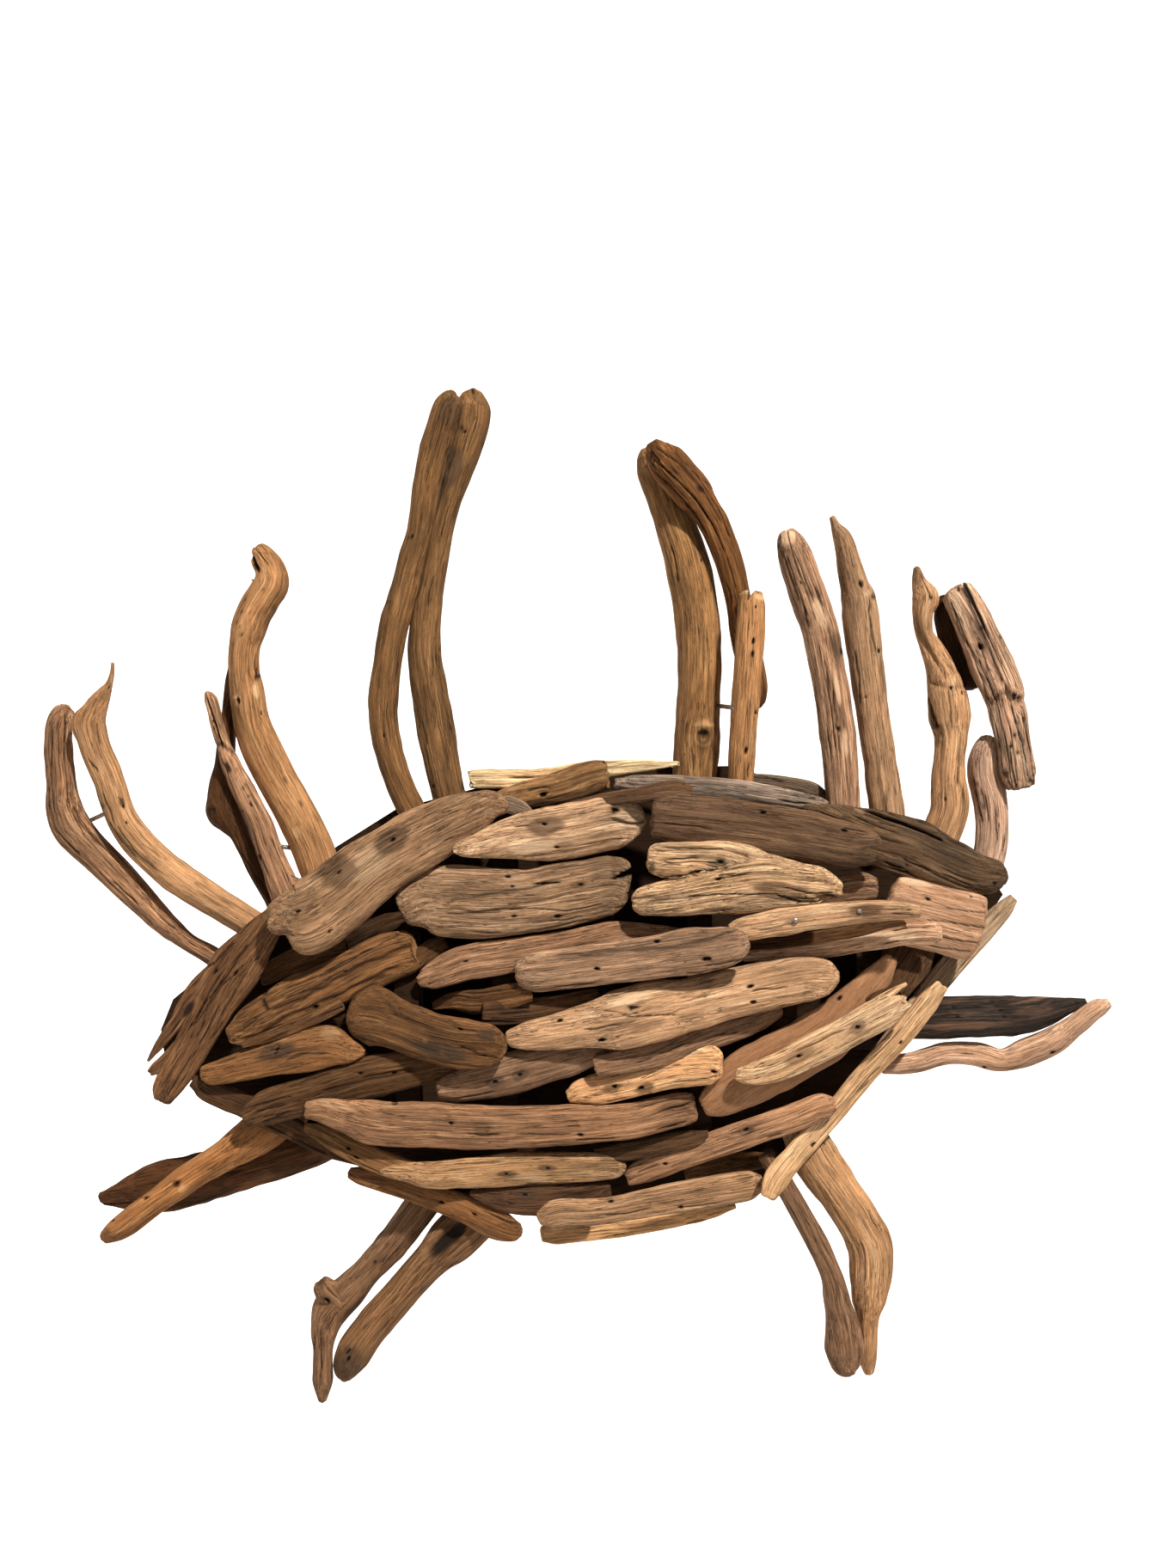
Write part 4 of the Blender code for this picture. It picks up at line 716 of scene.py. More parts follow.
            (14, 1.5, (298, 1201), (338, 1178), (358, 1171), (419, 1143), (470, 1116)),
            (12, 1.2, (275, 1209), (332, 1190), (399, 1166), (440, 1140))),
        ("crack", (1.4, 1.6, (330, 1150), (380, 1132), (430, 1104), (470, 1082)),
            (2.2, 2.4, (308, 1152), (306, 1163), (311, 1174)),
            (1.2, 1.4, (330, 1162), (372, 1145), (400, 1128))),
        ("groove", (2.5, 0.9, (400, 1140), (480, 1100))),
        ("knot", (366, 1172, 6)),
        ("hole", (367, 1172), (402, 1130, 2.5)),
    ],
    "shell_low_left": [
        ("hole", (419, 1249), (459, 1249)),
        ("crack", (1.5, 1.6, (296, 1287), (325, 1278), (340, 1276)),
            (1.4, 1.4, (300, 1294), (330, 1286)), (1.2, 1.2, (308, 1300), (338, 1293))),
        ("groove", (3, 1.0, (380, 1270), (440, 1256), (480, 1246))),
    ],
    "shell_under_middle": [
        ("stain", (576, 1259, 13, 7, 0.75), (605, 1251, 12, 7, 0.75)),
        ("hole", (576, 1259), (605, 1251)),
    ],
    "shell_wide_low": [
        ("hole", (525, 1307), (675, 1321), (459, 1282)),
        ("stain", (560, 1312, 12, 6, 0.5)),
        ("pale", (390, 1286, 28, 6, 0.4)),
        ("second", (795, 1290, 28, 30)),
        ("crack", (2.0, 1.6, (770, 1294), (805, 1282)), (1.8, 1.4, (765, 1316), (800, 1305))),
    ],
    "shell_low_middle": [
        ("stain", (589, 1366, 14, 4, 0.9), (637, 1359, 14, 4, 0.9)),
        ("hole", (589, 1366, 2.5), (637, 1359, 2.5)),
        ("groove", (3, 1.0, (640, 1368), (680, 1363), (720, 1362))),
        ("pale", (620, 1371, 20, 4, 0.6)),
    ],
    "shell_lower_stick": [
        ("stain", (611, 1390, 14, 7, 0.6)),
        ("hole", (611, 1390)),
    ],
    "shell_bottom": [
        ("hole", (711, 1398), (793, 1405)),
    ],
    "shell_bottom_edge": [
        ("hole", (692, 1421)),
    ],
    "shell_lower_right": [
        ("stain", (868, 1314, 12, 6, 0.7)),
        ("hole", (868, 1314), (774, 1354)),
    ],
    "rim_right_front": [
        ("hole", (946, 1332), (1048, 1213)),
    ],
    "rim_bottom": [
        ("hole", (514, 1399), (552, 1413)),
    ],
    "rim_left_front": [
        ("hole", (405, 1336, 2.5), (415, 1347, 2.5)),
    ],
    "shell_inner_right": [
        ("hole", (976, 1161, 3.5)),
    ],
}

# How finely a piece is carved: metres between rings, metres between points round the front, and how
# much wider apart the points of the back are.
RING_STEP = 0.0026
POINT_STEP = 0.00080
BACK_SPREAD = 3.2
FEWEST_RINGS = 8
FEWEST_POINTS = 24
# The share of its half thickness above which a section counts as its front.
FRONT_FROM = -0.15
# Rings lie closer together round the holes and knots: by how much, and how far along in metres.
FINE_EXTRA = 1.5
FINE_REACH = 0.005
# How many places a route is first measured at, and how many angles a section is.
EVEN_PLACES = 400
SECTION_ANGLES = 2881
# Share of the CAD section's width that the carved one starts from, so that its hollows and swells lie
# round it.
FULLNESS = 1.015

# How long an end is by kind, as a share of the lesser of its width and thickness there; the share of the full
# section that it starts from, and its rings.
CAP_DEPTH = {"round": 0.5, "worn": 0.3, "broken": 0.1, "hidden": 0.2}
CAP_LEAST = 0.25
CAP_RINGS = 7

# How much a piece's width and thickness wander along it: cell in metres, and share.
WIDE_WANDER = (0.021, 0.035)
FINE_WANDER = (0.008, 0.02)
THICK_WANDER = (0.027, 0.04)

# What weather leaves, by kind: cell along the grain and across it in metres, a number of its own for the
# noise, and depth in metres. The swell's depth is a share of the thickness.
RELIEF = {
    "swell": (0.080, 0.017, 11, 0.10),
    "facet": (0.045, 0.009, 15, 0.0009),
    "dent": (0.014, 0.006, 12, 0.00035),
    "ridge": (0.060, 0.0030, 13, 0.00065),
    "line": (0.026, 0.0016, 14, 0.00034),
}
# Drying cracks: metres of stick for each, and the range of their reach, depth and width.
CRACK_SPACING = 0.04
CRACK_REACH = (0.005, 0.024)
CRACK_DEPTH = (0.0007, 0.0016)
CRACK_WIDTH = (0.0007, 0.0010)
# How far round from the middle of the front they may lie, as a share of half the way round; how they bend, as
# a cell and an amount in metres, and how they slant, as a slope.
CRACK_SPREAD = 0.42
CRACK_BEND = (0.011, 0.0009)
CRACK_SLANT = 0.02
# The cells of the fibres at an end, coarse and fine, in metres.
COARSE_FIBRE = (1, 0.0042, 0.0034)
FINE_FIBRE = (1, 0.0015, 0.0015)
# How far a broken end's fibres are torn back along the piece, and a worn end's reach and depth.
TORN_REACH = 0.020
SPLINTER_REACH = 0.004
WORN_REACH, WORN_DEPTH = 0.008, 0.0012

# The field hollow is painted shade in cracks, holes, grooves, splits and step edges, and between splinters.
# It also carries the dark marks, which paint shade in creases and hollows as well as dark spots of the wood.
FIELDS = ("stain", "hollow", "pale", "second", "knot")
# Marks that only colour an oval: the field that each writes, how far out it goes, how soft its edge is, and
# how strong it is unless the mark says so. Dark marks write into hollow, the field that holds painted shade.
TINTS = {
    "stain": ("stain", 1.15, 0.45, 0.8), "dark": ("hollow", 1.2, 0.6, 0.8), "pale": ("pale", 1.2, 0.6, 0.8),
    "second": ("second", 1.3, 0.7, 1.0),
}
# Where a node's lie is felt across its width, as shares of the width.
NODE_OFFSETS = (-0.28, -0.1, 0.1, 0.28)


def seen_at(across, down, height):
    """The true x and z of a point seen at this pixel that stands this high off the wall."""
    nearer = 1 - height / VIEW_DISTANCE
    x = (across - EYE_POINT[0]) * nearer + EYE_POINT[0] - MOUNT_POINT[0]
    z = (EYE_POINT[1] - down) * nearer + MOUNT_POINT[1] - EYE_POINT[1]
    return x * PIXEL, z * PIXEL


def spots_of(route, height):
    """The true x and z of each station of a route that stands this high off the wall."""
    return np.array([seen_at(across, down, height) for across, down, width in route])


def view_of(points):
    """The pixel (across, down) at which each point is seen."""
    reach = PIXEL * (1 + points[..., 1] / VIEW_DISTANCE)
    across = EYE_POINT[0] + (points[..., 0] - (EYE_POINT[0] - MOUNT_POINT[0]) * PIXEL) / reach
    down = EYE_POINT[1] - (points[..., 2] - (MOUNT_POINT[1] - EYE_POINT[1]) * PIXEL) / reach
    return np.stack([across, down], axis=-1)


def lattice(x, y, z, seed):
    """A repeatable value from -1 to 1 for each whole-numbered point."""
    mixed = x * 73856093 ^ y * 19349663 ^ z * 83492791 ^ (seed * 2654435761 & 0xFFFFFFFF)
    mixed &= 0xFFFFFFFF
    mixed = (mixed ^ (mixed >> 15)) * 2246822519 & 0xFFFFFFFF
    mixed = (mixed ^ (mixed >> 13)) * 3266489917 & 0xFFFFFFFF
    return (mixed ^ (mixed >> 16)) / 0x7FFFFFFF - 1


def noise(points, cells, seed):
    """Smooth noise from -1 to 1 at points, with cells of these sizes in metres."""
    scaled = points / np.array(cells)
    cell = np.floor(scaled).astype(np.int64)
    share = scaled - cell
    share = share * share * (3 - 2 * share)
    total = np.zeros(points.shape[:-1])
    for dx in (0, 1):
        for dy in (0, 1):
            for dz in (0, 1):
                weight = np.abs(1 - dx - share[..., 0]) * np.abs(1 - dy - share[..., 1])
                weight = weight * np.abs(1 - dz - share[..., 2])
                total += weight * lattice(cell[..., 0] + dx, cell[..., 1] + dy, cell[..., 2] + dz, seed)
    return total


def wander(places, cell, seed, row=0):
    """Smooth noise from -1 to 1 along a line."""
    return noise(np.stack([places, places * 0, places * 0 + row], axis=1), (cell, 1, 1), seed)


def smooth(value, low, high):
    """0 below low and 1 above high, with a smooth rise between."""
    share = np.clip((value - low) / (high - low), 0, 1)
    return share * share * (3 - 2 * share)


def run_of(spots):
    """The distance along a route of each of its stations."""
    return np.concatenate([[0], np.cumsum(np.linalg.norm(np.diff(spots, axis=0), axis=1))])


def headings_of(spots):
    """The unit direction of a route at each of its stations."""
    ahead = np.diff(spots, axis=0)
    length = np.linalg.norm(ahead, axis=1, keepdims=True)
    heading = np.empty_like(spots)
    heading[0] = ahead[0] / length[0]
    heading[-1] = ahead[-1] / length[-1]
    heading[1:-1] = ahead[:-1] / length[:-1] ** 2 + ahead[1:] / length[1:] ** 2
    return heading / np.linalg.norm(heading, axis=1, keepdims=True)


def hermite(start, end, leave, arrive, t):
    """Points of the smooth curves that leave and arrive with these slopes, at these shares of their spans."""
    first = (2 * t**3 - 3 * t**2 + 1) * start + (t**3 - 2 * t**2 + t) * leave
    return first + (3 * t**2 - 2 * t**3) * end + (t**3 - t**2) * arrive


def curve_through(spots, run, at):
    """Points of a smooth curve through spots, whose distances along it are run, at these distances."""
    tangent = headings_of(spots)
    piece = np.clip(np.searchsorted(run, at, side="right") - 1, 0, len(run) - 2)
    span = (run[piece + 1] - run[piece])[:, None]
    t = (at - run[piece])[:, None] / span
    return hermite(spots[piece], spots[piece + 1], tangent[piece] * span, tangent[piece + 1] * span, t)


def eased(values, run, at):
    """Values along a route, on a smooth curve through its stations that never swings beyond them."""
    rise = np.diff(values) / np.diff(run)
    slope = np.zeros(len(values))
    slope[0], slope[-1] = rise[0], rise[-1]
    both = rise[:-1] * rise[1:]
    slope[1:-1] = np.where(both > 0, 2 * both / (rise[:-1] + rise[1:] + 1e-12), 0)
    piece = np.clip(np.searchsorted(run, at, side="right") - 1, 0, len(run) - 2)
    span = run[piece + 1] - run[piece]
    t = (at - run[piece]) / span
    return hermite(values[piece], values[piece + 1], span * slope[piece], span * slope[piece + 1], t)


def section_shares(squareness, flatness, step):
    """Points round a section as shares of half its width and thickness, closer together on the front."""
    angle = np.linspace(-math.pi / 2, 3 * math.pi / 2, SECTION_ANGLES)
    across = np.copysign(np.abs(np.cos(angle)) ** (2 / squareness), np.cos(angle))
    out = np.copysign(np.abs(np.sin(angle)) ** (2 / squareness), np.sin(angle))
    length = np.hypot(np.diff(across), np.diff(out) * flatness)
    front = (out[1:] + out[:-1]) / 2 > FRONT_FROM
    run = np.concatenate([[0], np.cumsum(length / np.where(front, 1, BACK_SPREAD))])
    count = max(FEWEST_POINTS, 4 * round(run[-1] / step / 4))
    at = np.arange(count) * run[-1] / count
    return np.interp(at, run, across), np.interp(at, run, out)


def node_points(name):
    """A CAD node's points and its search tree."""
    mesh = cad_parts[name].data
    points = np.empty(len(mesh.vertices) * 3)
    mesh.vertices.foreach_get("co", points)
    faces = [tuple(face.vertices) for face in mesh.polygons]
    points = points.reshape(-1, 3)
    return points, BVHTree.FromPolygons(points.tolist(), faces)


def bed_of(tree, spots, sides, widths):
    """How a node lies: the four values that give its middle height y from x, z and the share along it."""
    rows, heights = [], []
    run = run_of(spots)
    for spot, side, width, share in zip(spots, sides, widths, run / run[-1]):
        for offset in NODE_OFFSETS:
            x, z = spot + side * width * offset
            front = tree.ray_cast(Vector((x, -1, z)), Vector((0, 1, 0)))[0]
            back = tree.ray_cast(Vector((x, 1, z)), Vector((0, -1, 0)))[0]
            if front and back:
                rows.append((1, x, z, math.sin(math.pi * share)))
                heights.append((front.y + back.y) / 2)
    return np.linalg.lstsq(np.array(rows), np.array(heights), rcond=None)[0]


def ring_places(start, end, spots, run, fine):
    """Places of the rings along a piece, closer together where it has fine marks."""
    even = np.linspace(start, end, EVEN_PLACES)
    path = curve_through(spots, run, even)
    crowd = np.ones(len(even))
    for spot in fine:
        middle = even[np.argmin(np.linalg.norm(path - spot, axis=1))]
        crowd = np.maximum(crowd, 1 + FINE_EXTRA * np.exp(-(((even - middle) / FINE_REACH) ** 2)))
    total = np.concatenate([[0], np.cumsum((crowd[1:] + crowd[:-1]) / 2 * np.diff(even))])
    count = max(FEWEST_RINGS, round(total[-1] / RING_STEP))
    return np.interp(np.linspace(0, total[-1], count), total, even)


def line_distance(seen, spots):
    """Distance in pixels from a line, the side of it, and the share along it."""
    best = np.full(seen.shape[:-1], 1e9)
    side = np.zeros(seen.shape[:-1])
    share = np.zeros(seen.shape[:-1])
    spots = np.array(spots, float)
    for number, (start, end) in enumerate(zip(spots[:-1], spots[1:])):
        ahead = end - start
        t = np.clip(((seen - start) @ ahead) / (ahead @ ahead), 0, 1)
        gap = seen - start - t[..., None] * ahead
        distance = np.linalg.norm(gap, axis=-1)
        closer = distance < best
        best = np.where(closer, distance, best)
        side = np.where(closer, np.sign(ahead[0] * gap[..., 1] - ahead[1] * gap[..., 0]), side)
        share = np.where(closer, (number + t) / (len(spots) - 1), share)
    return best, side, share


def cap(kind, size):
    """Distances from a piece's end, rising, and the share of the full section at each."""
    turn = np.linspace(0, math.pi / 2, CAP_RINGS)
    share = CAP_LEAST + (1 - CAP_LEAST) * np.sin(turn) ** (0.9 if kind == "round" else 0.6)
    return CAP_DEPTH[kind] * size * (1 - np.cos(turn)), share


class Carving:
    """One stick or plank as a grid of rings, before it becomes a mesh."""

    def __init__(self, route, section, height, bed, seed, look, marks):
        self.seed = seed
        self.look = look
        share, squareness = section
        spots = spots_of(route, height)
        widths = np.array([width for across, down, width in route]) * PIXEL * (1 - height / VIEW_DISTANCE)
        thickness = share * widths.max() * (widths / widths.max()) ** THINNING
        thickness = np.maximum(thickness, np.minimum(THINNEST_STICK, widths))
        run = run_of(spots)
        length = run[-1]
        start_at, start_share = cap(look["ends"][0], min(widths[0], thickness[0]))
        end_at, end_share = cap(look["ends"][1], min(widths[-1], thickness[-1]))
        fine = [each for kind, *each in marks if kind in ("hole", "knot")]
        fine = [seen_at(*spot[:2], height) for each in fine for spot in each]
        middle = ring_places(start_at[-1], length - end_at[-1], spots, run, fine)
        at = np.concatenate([start_at[:-1], middle, length - end_at[:-1][::-1]])
        full = np.concatenate([start_share[:-1], np.ones(len(middle)), end_share[:-1][::-1]])
        self.along = at
        self.length = length
        path = curve_through(spots, run, at)
        even = np.linspace(0, length, EVEN_PLACES)
        heading = np.gradient(curve_through(spots, run, even), axis=0)
        heading = heading / np.linalg.norm(heading, axis=1, keepdims=True)
        heading = np.stack([np.interp(at, even, heading[:, k]) for k in (0, 1)], axis=1)
        self.heading = heading / np.linalg.norm(heading, axis=1, keepdims=True)
        wide = eased(widths, run, at) * full
        thick = eased(thickness, run, at) * full
        swings = [amount * wander(at, cell, seed + 1 + number)
                  for number, (cell, amount) in enumerate((WIDE_WANDER, FINE_WANDER, THICK_WANDER))]
        wide = wide * (1 + swings[0] + swings[1])
        thick = thick * (1 + swings[2])
        step = POINT_STEP / (widths.max() / 2)
        across, out = section_shares(squareness, thickness.max() / widths.max(), step)
        self.across = across[None, :] * wide[:, None] / 2 * FULLNESS
        self.out = out[None, :] * thick[:, None] / 2 * FULLNESS
        self.out_share = np.broadcast_to(out[None, :], self.out.shape)
        self.full = full
        side = np.stack([-self.heading[:, 1], self.heading[:, 0]], axis=1)
        x = path[:, 0, None] + side[:, 0, None] * self.across
        z = path[:, 1, None] + side[:, 1, None] * self.across
        bow = np.sin(np.pi * at / length)[:, None]
        y = bed[0] + bed[1] * x + bed[2] * z + bed[3] * bow - self.out
        self.points = np.stack([x, y, z], axis=-1)
        self.grain = np.stack([np.broadcast_to(at[:, None], x.shape), self.across, self.out], axis=-1)
        self.arc = self.arc_from_front()
        self.fields = {key: np.zeros(x.shape) for key in FIELDS}
        self.outward = self.normals()

    def arc_from_front(self):
        """Distance round each ring from the middle of its front."""
        ring = np.stack([self.across, self.out], axis=-1)
        step = np.linalg.norm(np.roll(ring, -1, axis=1) - ring, axis=-1)
        run = np.concatenate([np.zeros((len(ring), 1)), np.cumsum(step, axis=1)], axis=1)
        across = np.abs(self.across[0])
        front = np.argmax(self.out_share[0] - 0.01 * across / (across.max() + 1e-9))
        return run[:, :-1] - run[:, front:front + 1]

    def normals(self):
        """The outward direction at each point."""
        along = np.gradient(self.points, axis=0)
        beside = np.roll(self.points, -1, axis=1) - np.roll(self.points, 1, axis=1)
        normal = np.cross(beside, along)
        normal /= np.linalg.norm(normal, axis=-1, keepdims=True) + 1e-12
        centre = self.points.mean(axis=1, keepdims=True)
        return -normal if ((self.points - centre) * normal).sum() < 0 else normal

    def push(self, depth):
        """Moves each point inwards by this much."""
        self.points = self.points - self.outward * depth[..., None]

    def tone(self, field, value):
        """Raises a field to this value where it is lower."""
        self.fields[field] = np.maximum(self.fields[field], value)

    def grained(self, along, across, salt):
        """Noise from -1 to 1 that follows the grain."""
        return noise(self.grain, (along, across, across), self.seed + salt)

    def weather(self):
        """Swells, facets, grooves along the grain and drying cracks."""
        relief, lumps = self.look["relief"], self.look["lumps"]
        thick = np.abs(self.out).max(axis=1, keepdims=True) * 2
        found, deep = {}, {}
        for kind, (along, across, salt, depth) in RELIEF.items():
            found[kind], deep[kind] = self.grained(along, across, salt), depth
        groove = smooth(found["ridge"], 0.1, 0.95)
        self.push(np.clip(found["swell"] * 0.5 + 0.12, -0.3, 1) * deep["swell"] * thick * lumps)
        self.push(np.abs(found["facet"]) * deep["facet"] * lumps)
        self.push(np.maximum(found["dent"], -0.2) * deep["dent"] * relief)
        self.push(groove * deep["ridge"] * relief)
        self.push(smooth(found["line"], 0.1, 0.9) * deep["line"] * relief)
        # Painted shade in the grooves.
        self.tone("hollow", groove * 0.06 * relief)
        draws = np.random.default_rng(self.seed)
        for number in range(round(self.look["cracks"] * self.length / CRACK_SPACING)):
            middle = draws.uniform(0.05, 0.95) * self.length
            reach = draws.uniform(*CRACK_REACH)
            spot = draws.uniform(-1, 1) * CRACK_SPREAD * np.abs(self.arc).max()
            depth = draws.uniform(*CRACK_DEPTH)
            self.crack_along(middle, reach, spot, depth, draws.uniform(*CRACK_WIDTH), number)

    def crack_along(self, middle, reach, spot, depth, width, number):
        """A drying crack along the grain."""
        cell, amount = CRACK_BEND
        bend = wander(self.along, cell, self.seed + 21, number) * amount
        bend = bend + (self.along - middle) * CRACK_SLANT
        beside = np.abs(self.arc - spot - bend[:, None])
        window = smooth(1 - np.abs(self.along[:, None] - middle) / reach, 0, 0.35)
        cut = np.clip(1 - beside / width, 0, 1) * window
        self.push(cut * depth)
        # Painted shade in the crack.
        self.tone("hollow", smooth(cut, 0.05, 0.7) * 0.8)

    def tear_ends(self):
        """Pulls the fibres of a broken end back by uneven amounts, and wears the others."""
        flat = self.grain * np.array([0, 1, 1])
        coarse, fine = noise(flat, COARSE_FIBRE, self.seed + 31), noise(flat, FINE_FIBRE, self.seed + 32)
        fibre = coarse * 0.6 + fine * 0.4
        first, last = self.look["ends"]
        for kind, distance, sign in ((first, self.along, 1), (last, self.length - self.along, -1)):
            if kind == "hidden":
                continue
            broken = kind == "broken"
            reach, depth = (TORN_REACH, self.look["torn"]) if broken else (WORN_REACH, WORN_DEPTH)
            near = smooth(1 - distance / reach, 0, 1)[:, None]
            pull = np.clip(0.5 + fibre, 0, 1) * depth * near * sign
            self.points[..., 0] += self.heading[:, 0, None] * pull
            self.points[..., 2] += self.heading[:, 1, None] * pull
            if broken:
                self.tone("pale", 0.5 * near * smooth(1 - self.full[:, None], 0, 0.5))
                splintered = smooth(1 - distance / SPLINTER_REACH, 0, 1)[:, None]
                # Painted shade between the splinters.
                self.tone("hollow", near * smooth(-fibre, 0.1, 0.6) * 0.7 * splintered)

    def apply_marks(self, marks):
        """Carves and colours what the piece carries on its front."""
        self.seen = view_of(self.points)
        self.front = smooth(self.out_share, -0.5, 0.1)
        self.ragged = 1 + 0.22 * self.grained(0.006, 0.003, 41)
        for kind, *each in marks:
            for values in each:
                if kind in TINTS:
                    self.tint(kind, *values)
                else:
                    getattr(self, kind)(*values)

    def oval(self, x, y, along, across):
        """Distance from a pixel as a share of an oval, whose long axis follows the grain."""
        offset = self.seen - np.array([x, y])
        ring = np.argmin(np.linalg.norm(offset, axis=-1).min(axis=1))
        ahead = self.heading[ring] * np.array([1, -1])
        return np.hypot(offset @ ahead / along, offset @ np.array([-ahead[1], ahead[0]]) / across)

    def tint(self, kind, x, y, along, across, strength=None):
        """A patch of another tone, which a dark mark uses for painted shade: its half length and half width
        in pixels, and how strong it is.
        """
        field, out_to, softness, usual = TINTS[kind]
        shade = smooth(out_to - self.oval(x, y, along, across) / self.ragged, 0, softness)
        shade = shade * (usual if strength is None else strength)
        self.tone(field, shade if kind == "second" else shade * self.front)

    def hole(self, x, y, size=3):
        """A nail hole, a little longer along the grain: size in pixels."""
        ragged = self.ragged * (1 + 0.3 * self.grained(0.0022, 0.0016, 44))
        far = self.oval(x, y, size * 1.2, size * 0.65) / ragged
        self.push(smooth(1.2 - far, 0, 0.8) * self.front * min(0.0022, size * 0.0006))
        # Painted shade in the hole.
        self.tone("hollow", smooth(1.08 - far, 0, 0.3) * self.front)

    def dent(self, x, y, along, across, depth):
        """A soft hollow, or a bulge where the depth, in millimetres, is negative."""
        far = self.oval(x, y, along, across) / (0.5 + 0.5 * self.ragged)
        self.push(smooth(1.2 - far, 0, 1) * self.front * depth / 1000)

    def knot(self, x, y, size):
        """A knot in a raised ring, round which the grain bends."""
        far = self.oval(x, y, size, size * 0.85)
        ring_depth = smooth(0.55 - far, 0, 0.5) * 1.6 - np.exp(-((far - 0.85) ** 2) * 9)
        self.push(ring_depth * self.front * size * PIXEL * 0.13)
        self.tone("knot", np.clip(1 - far / 1.6, 0, 1) * self.front)
        away = np.linalg.norm(self.seen - np.array([x, y]), axis=-1)
        ring = np.argmin(away.min(axis=1))
        offset = self.grain[..., 1] - self.grain[ring, np.argmin(away[ring]), 1]
        self.grain[..., 1] -= offset * 0.6 * np.exp(-((far / 1.9) ** 2))

    def crack(self, width, depth, *spots):
        """A split with painted shade in it: width in pixels, depth in millimetres."""
        wobble = self.grained(0.006, 0.02, 42)
        distance, side, share = line_distance(self.seen + wobble[..., None] * 0.9, spots)
        width = width * (0.35 + 0.65 * np.sin(np.pi * np.clip(share, 0.04, 0.96)) ** 0.5)
        cut = np.clip(1.15 - distance / np.maximum(width * 0.62, 0.8), 0, 1) * self.front
        self.push(cut * depth / 1000)
        self.tone("hollow", smooth(cut, 0.05, 0.75))

    def groove(self, width, depth, *spots):
        """A soft furrow: width in pixels, depth in millimetres."""
        distance = line_distance(self.seen, spots)[0]
        cut = np.exp(-((distance / width) ** 2)) * self.front
        self.push(cut * depth / 1000)
        # Painted shade in the furrow.
        self.tone("hollow", cut * 0.25)

    def step(self, reach, depth, *spots):
        """The wood on the right of a line, as one goes along it, is lower, by depth in millimetres."""
        wobble = self.grained(0.009, 0.006, 43)
        distance, side, share = line_distance(self.seen + wobble[..., None] * 1.6, spots)
        below = smooth(distance * side, 0, 2.2) * smooth(1 - distance / reach, 0, 0.7) * self.front
        ends = smooth(np.minimum(share, 1 - share), 0, 0.06)
        self.push(below * ends * depth / 1000)
        # A painted shadow along the edge, on its lower side.
        edge = np.exp(-(((distance * side) - 1.2) ** 2) / 3.0) * ends * self.front
        self.tone("hollow", edge * 0.75)

    def surface(self):
        """Points, faces and field values of the closed surface."""
        rings, count = self.points.shape[:2]
        index = np.arange(rings * count).reshape(rings, count)
        beside = np.roll(index, -1, axis=1)
        quads = np.stack([index[:-1], beside[:-1], beside[1:], index[1:]], axis=-1).reshape(-1, 4)
        points = with_ends(self.points)
        points[:, 1] = np.clip(points[:, 1], cad_low[1], cad_high[1])
        first, last = rings * count, rings * count + 1
        faces = [tuple(quad) for quad in quads.tolist()]
        for j in range(count):
            k = (j + 1) % count
            faces.append((first, int(index[0, k]), int(index[0, j])))
            faces.append((last, int(index[-1, j]), int(index[-1, k])))
        fields = {key: with_ends(grid[..., None])[:, 0] for key, grid in self.fields.items()}
        fields["grain"] = with_ends(self.grain)
        return points, faces, fields


def with_ends(grid):
    """A grid's values in one row, followed by the means of its first and last rings."""
    ends = [grid[0].mean(axis=0), grid[-1].mean(axis=0)]
    return np.concatenate([grid.reshape(-1, grid.shape[-1]), ends])


def carve(route, section, height, bed, seed, look, marks):
    """The surface of one carved piece."""
    carving = Carving(route, section, height, bed, seed, look, marks)
    carving.apply_marks(marks)
    carving.weather()
    carving.tear_ends()
    return carving.surface()


def face_outwards(mesh):
    bm = bmesh.new()
    bm.from_mesh(mesh)
    bmesh.ops.recalc_face_normals(bm, faces=bm.faces)
    bm.to_mesh(mesh)
    bm.free()


def add_object(name, points, faces, smooth_faces=True, closed=True):
    """A mesh object in the scene."""
    mesh = bpy.data.meshes.new(name)
    mesh.from_pydata(points, [], faces)
    mesh.validate()
    if closed:
        face_outwards(mesh)
    mesh.polygons.foreach_set("use_smooth", [smooth_faces] * len(mesh.polygons))
    made = bpy.data.objects.new(name, mesh)
    bpy.context.scene.collection.objects.link(made)
    return made


def write_fields(mesh, fields):
    """Writes the wood's fields on a mesh: the grain as a vector, the rest three to a vector."""
    layers = {"grain": fields["grain"]}
    for name, keys in (("marks", ("stain", "hollow", "pale")), ("tones", ("second", "knot", "knot"))):
        layers[name] = np.stack([np.clip(fields[key], 0, 1) for key in keys], axis=-1)
    for name, values in layers.items():
        layer = mesh.attributes.get(name) or mesh.attributes.new(name, "FLOAT_VECTOR", "POINT")
        layer.data.foreach_set("vector", values.reshape(-1))


def join_surfaces(surfaces):
    """One surface from those of a stick and its prongs."""
    points, faces, start = [], [], 0
    for more_points, more_faces, more_fields in surfaces:
        points.append(more_points)
        faces += [tuple(corner + start for corner in face) for face in more_faces]
        start += len(more_points)
    fields = {key: np.concatenate([part[2][key] for part in surfaces]) for key in surfaces[0][2]}
    return np.concatenate(points), faces, fields


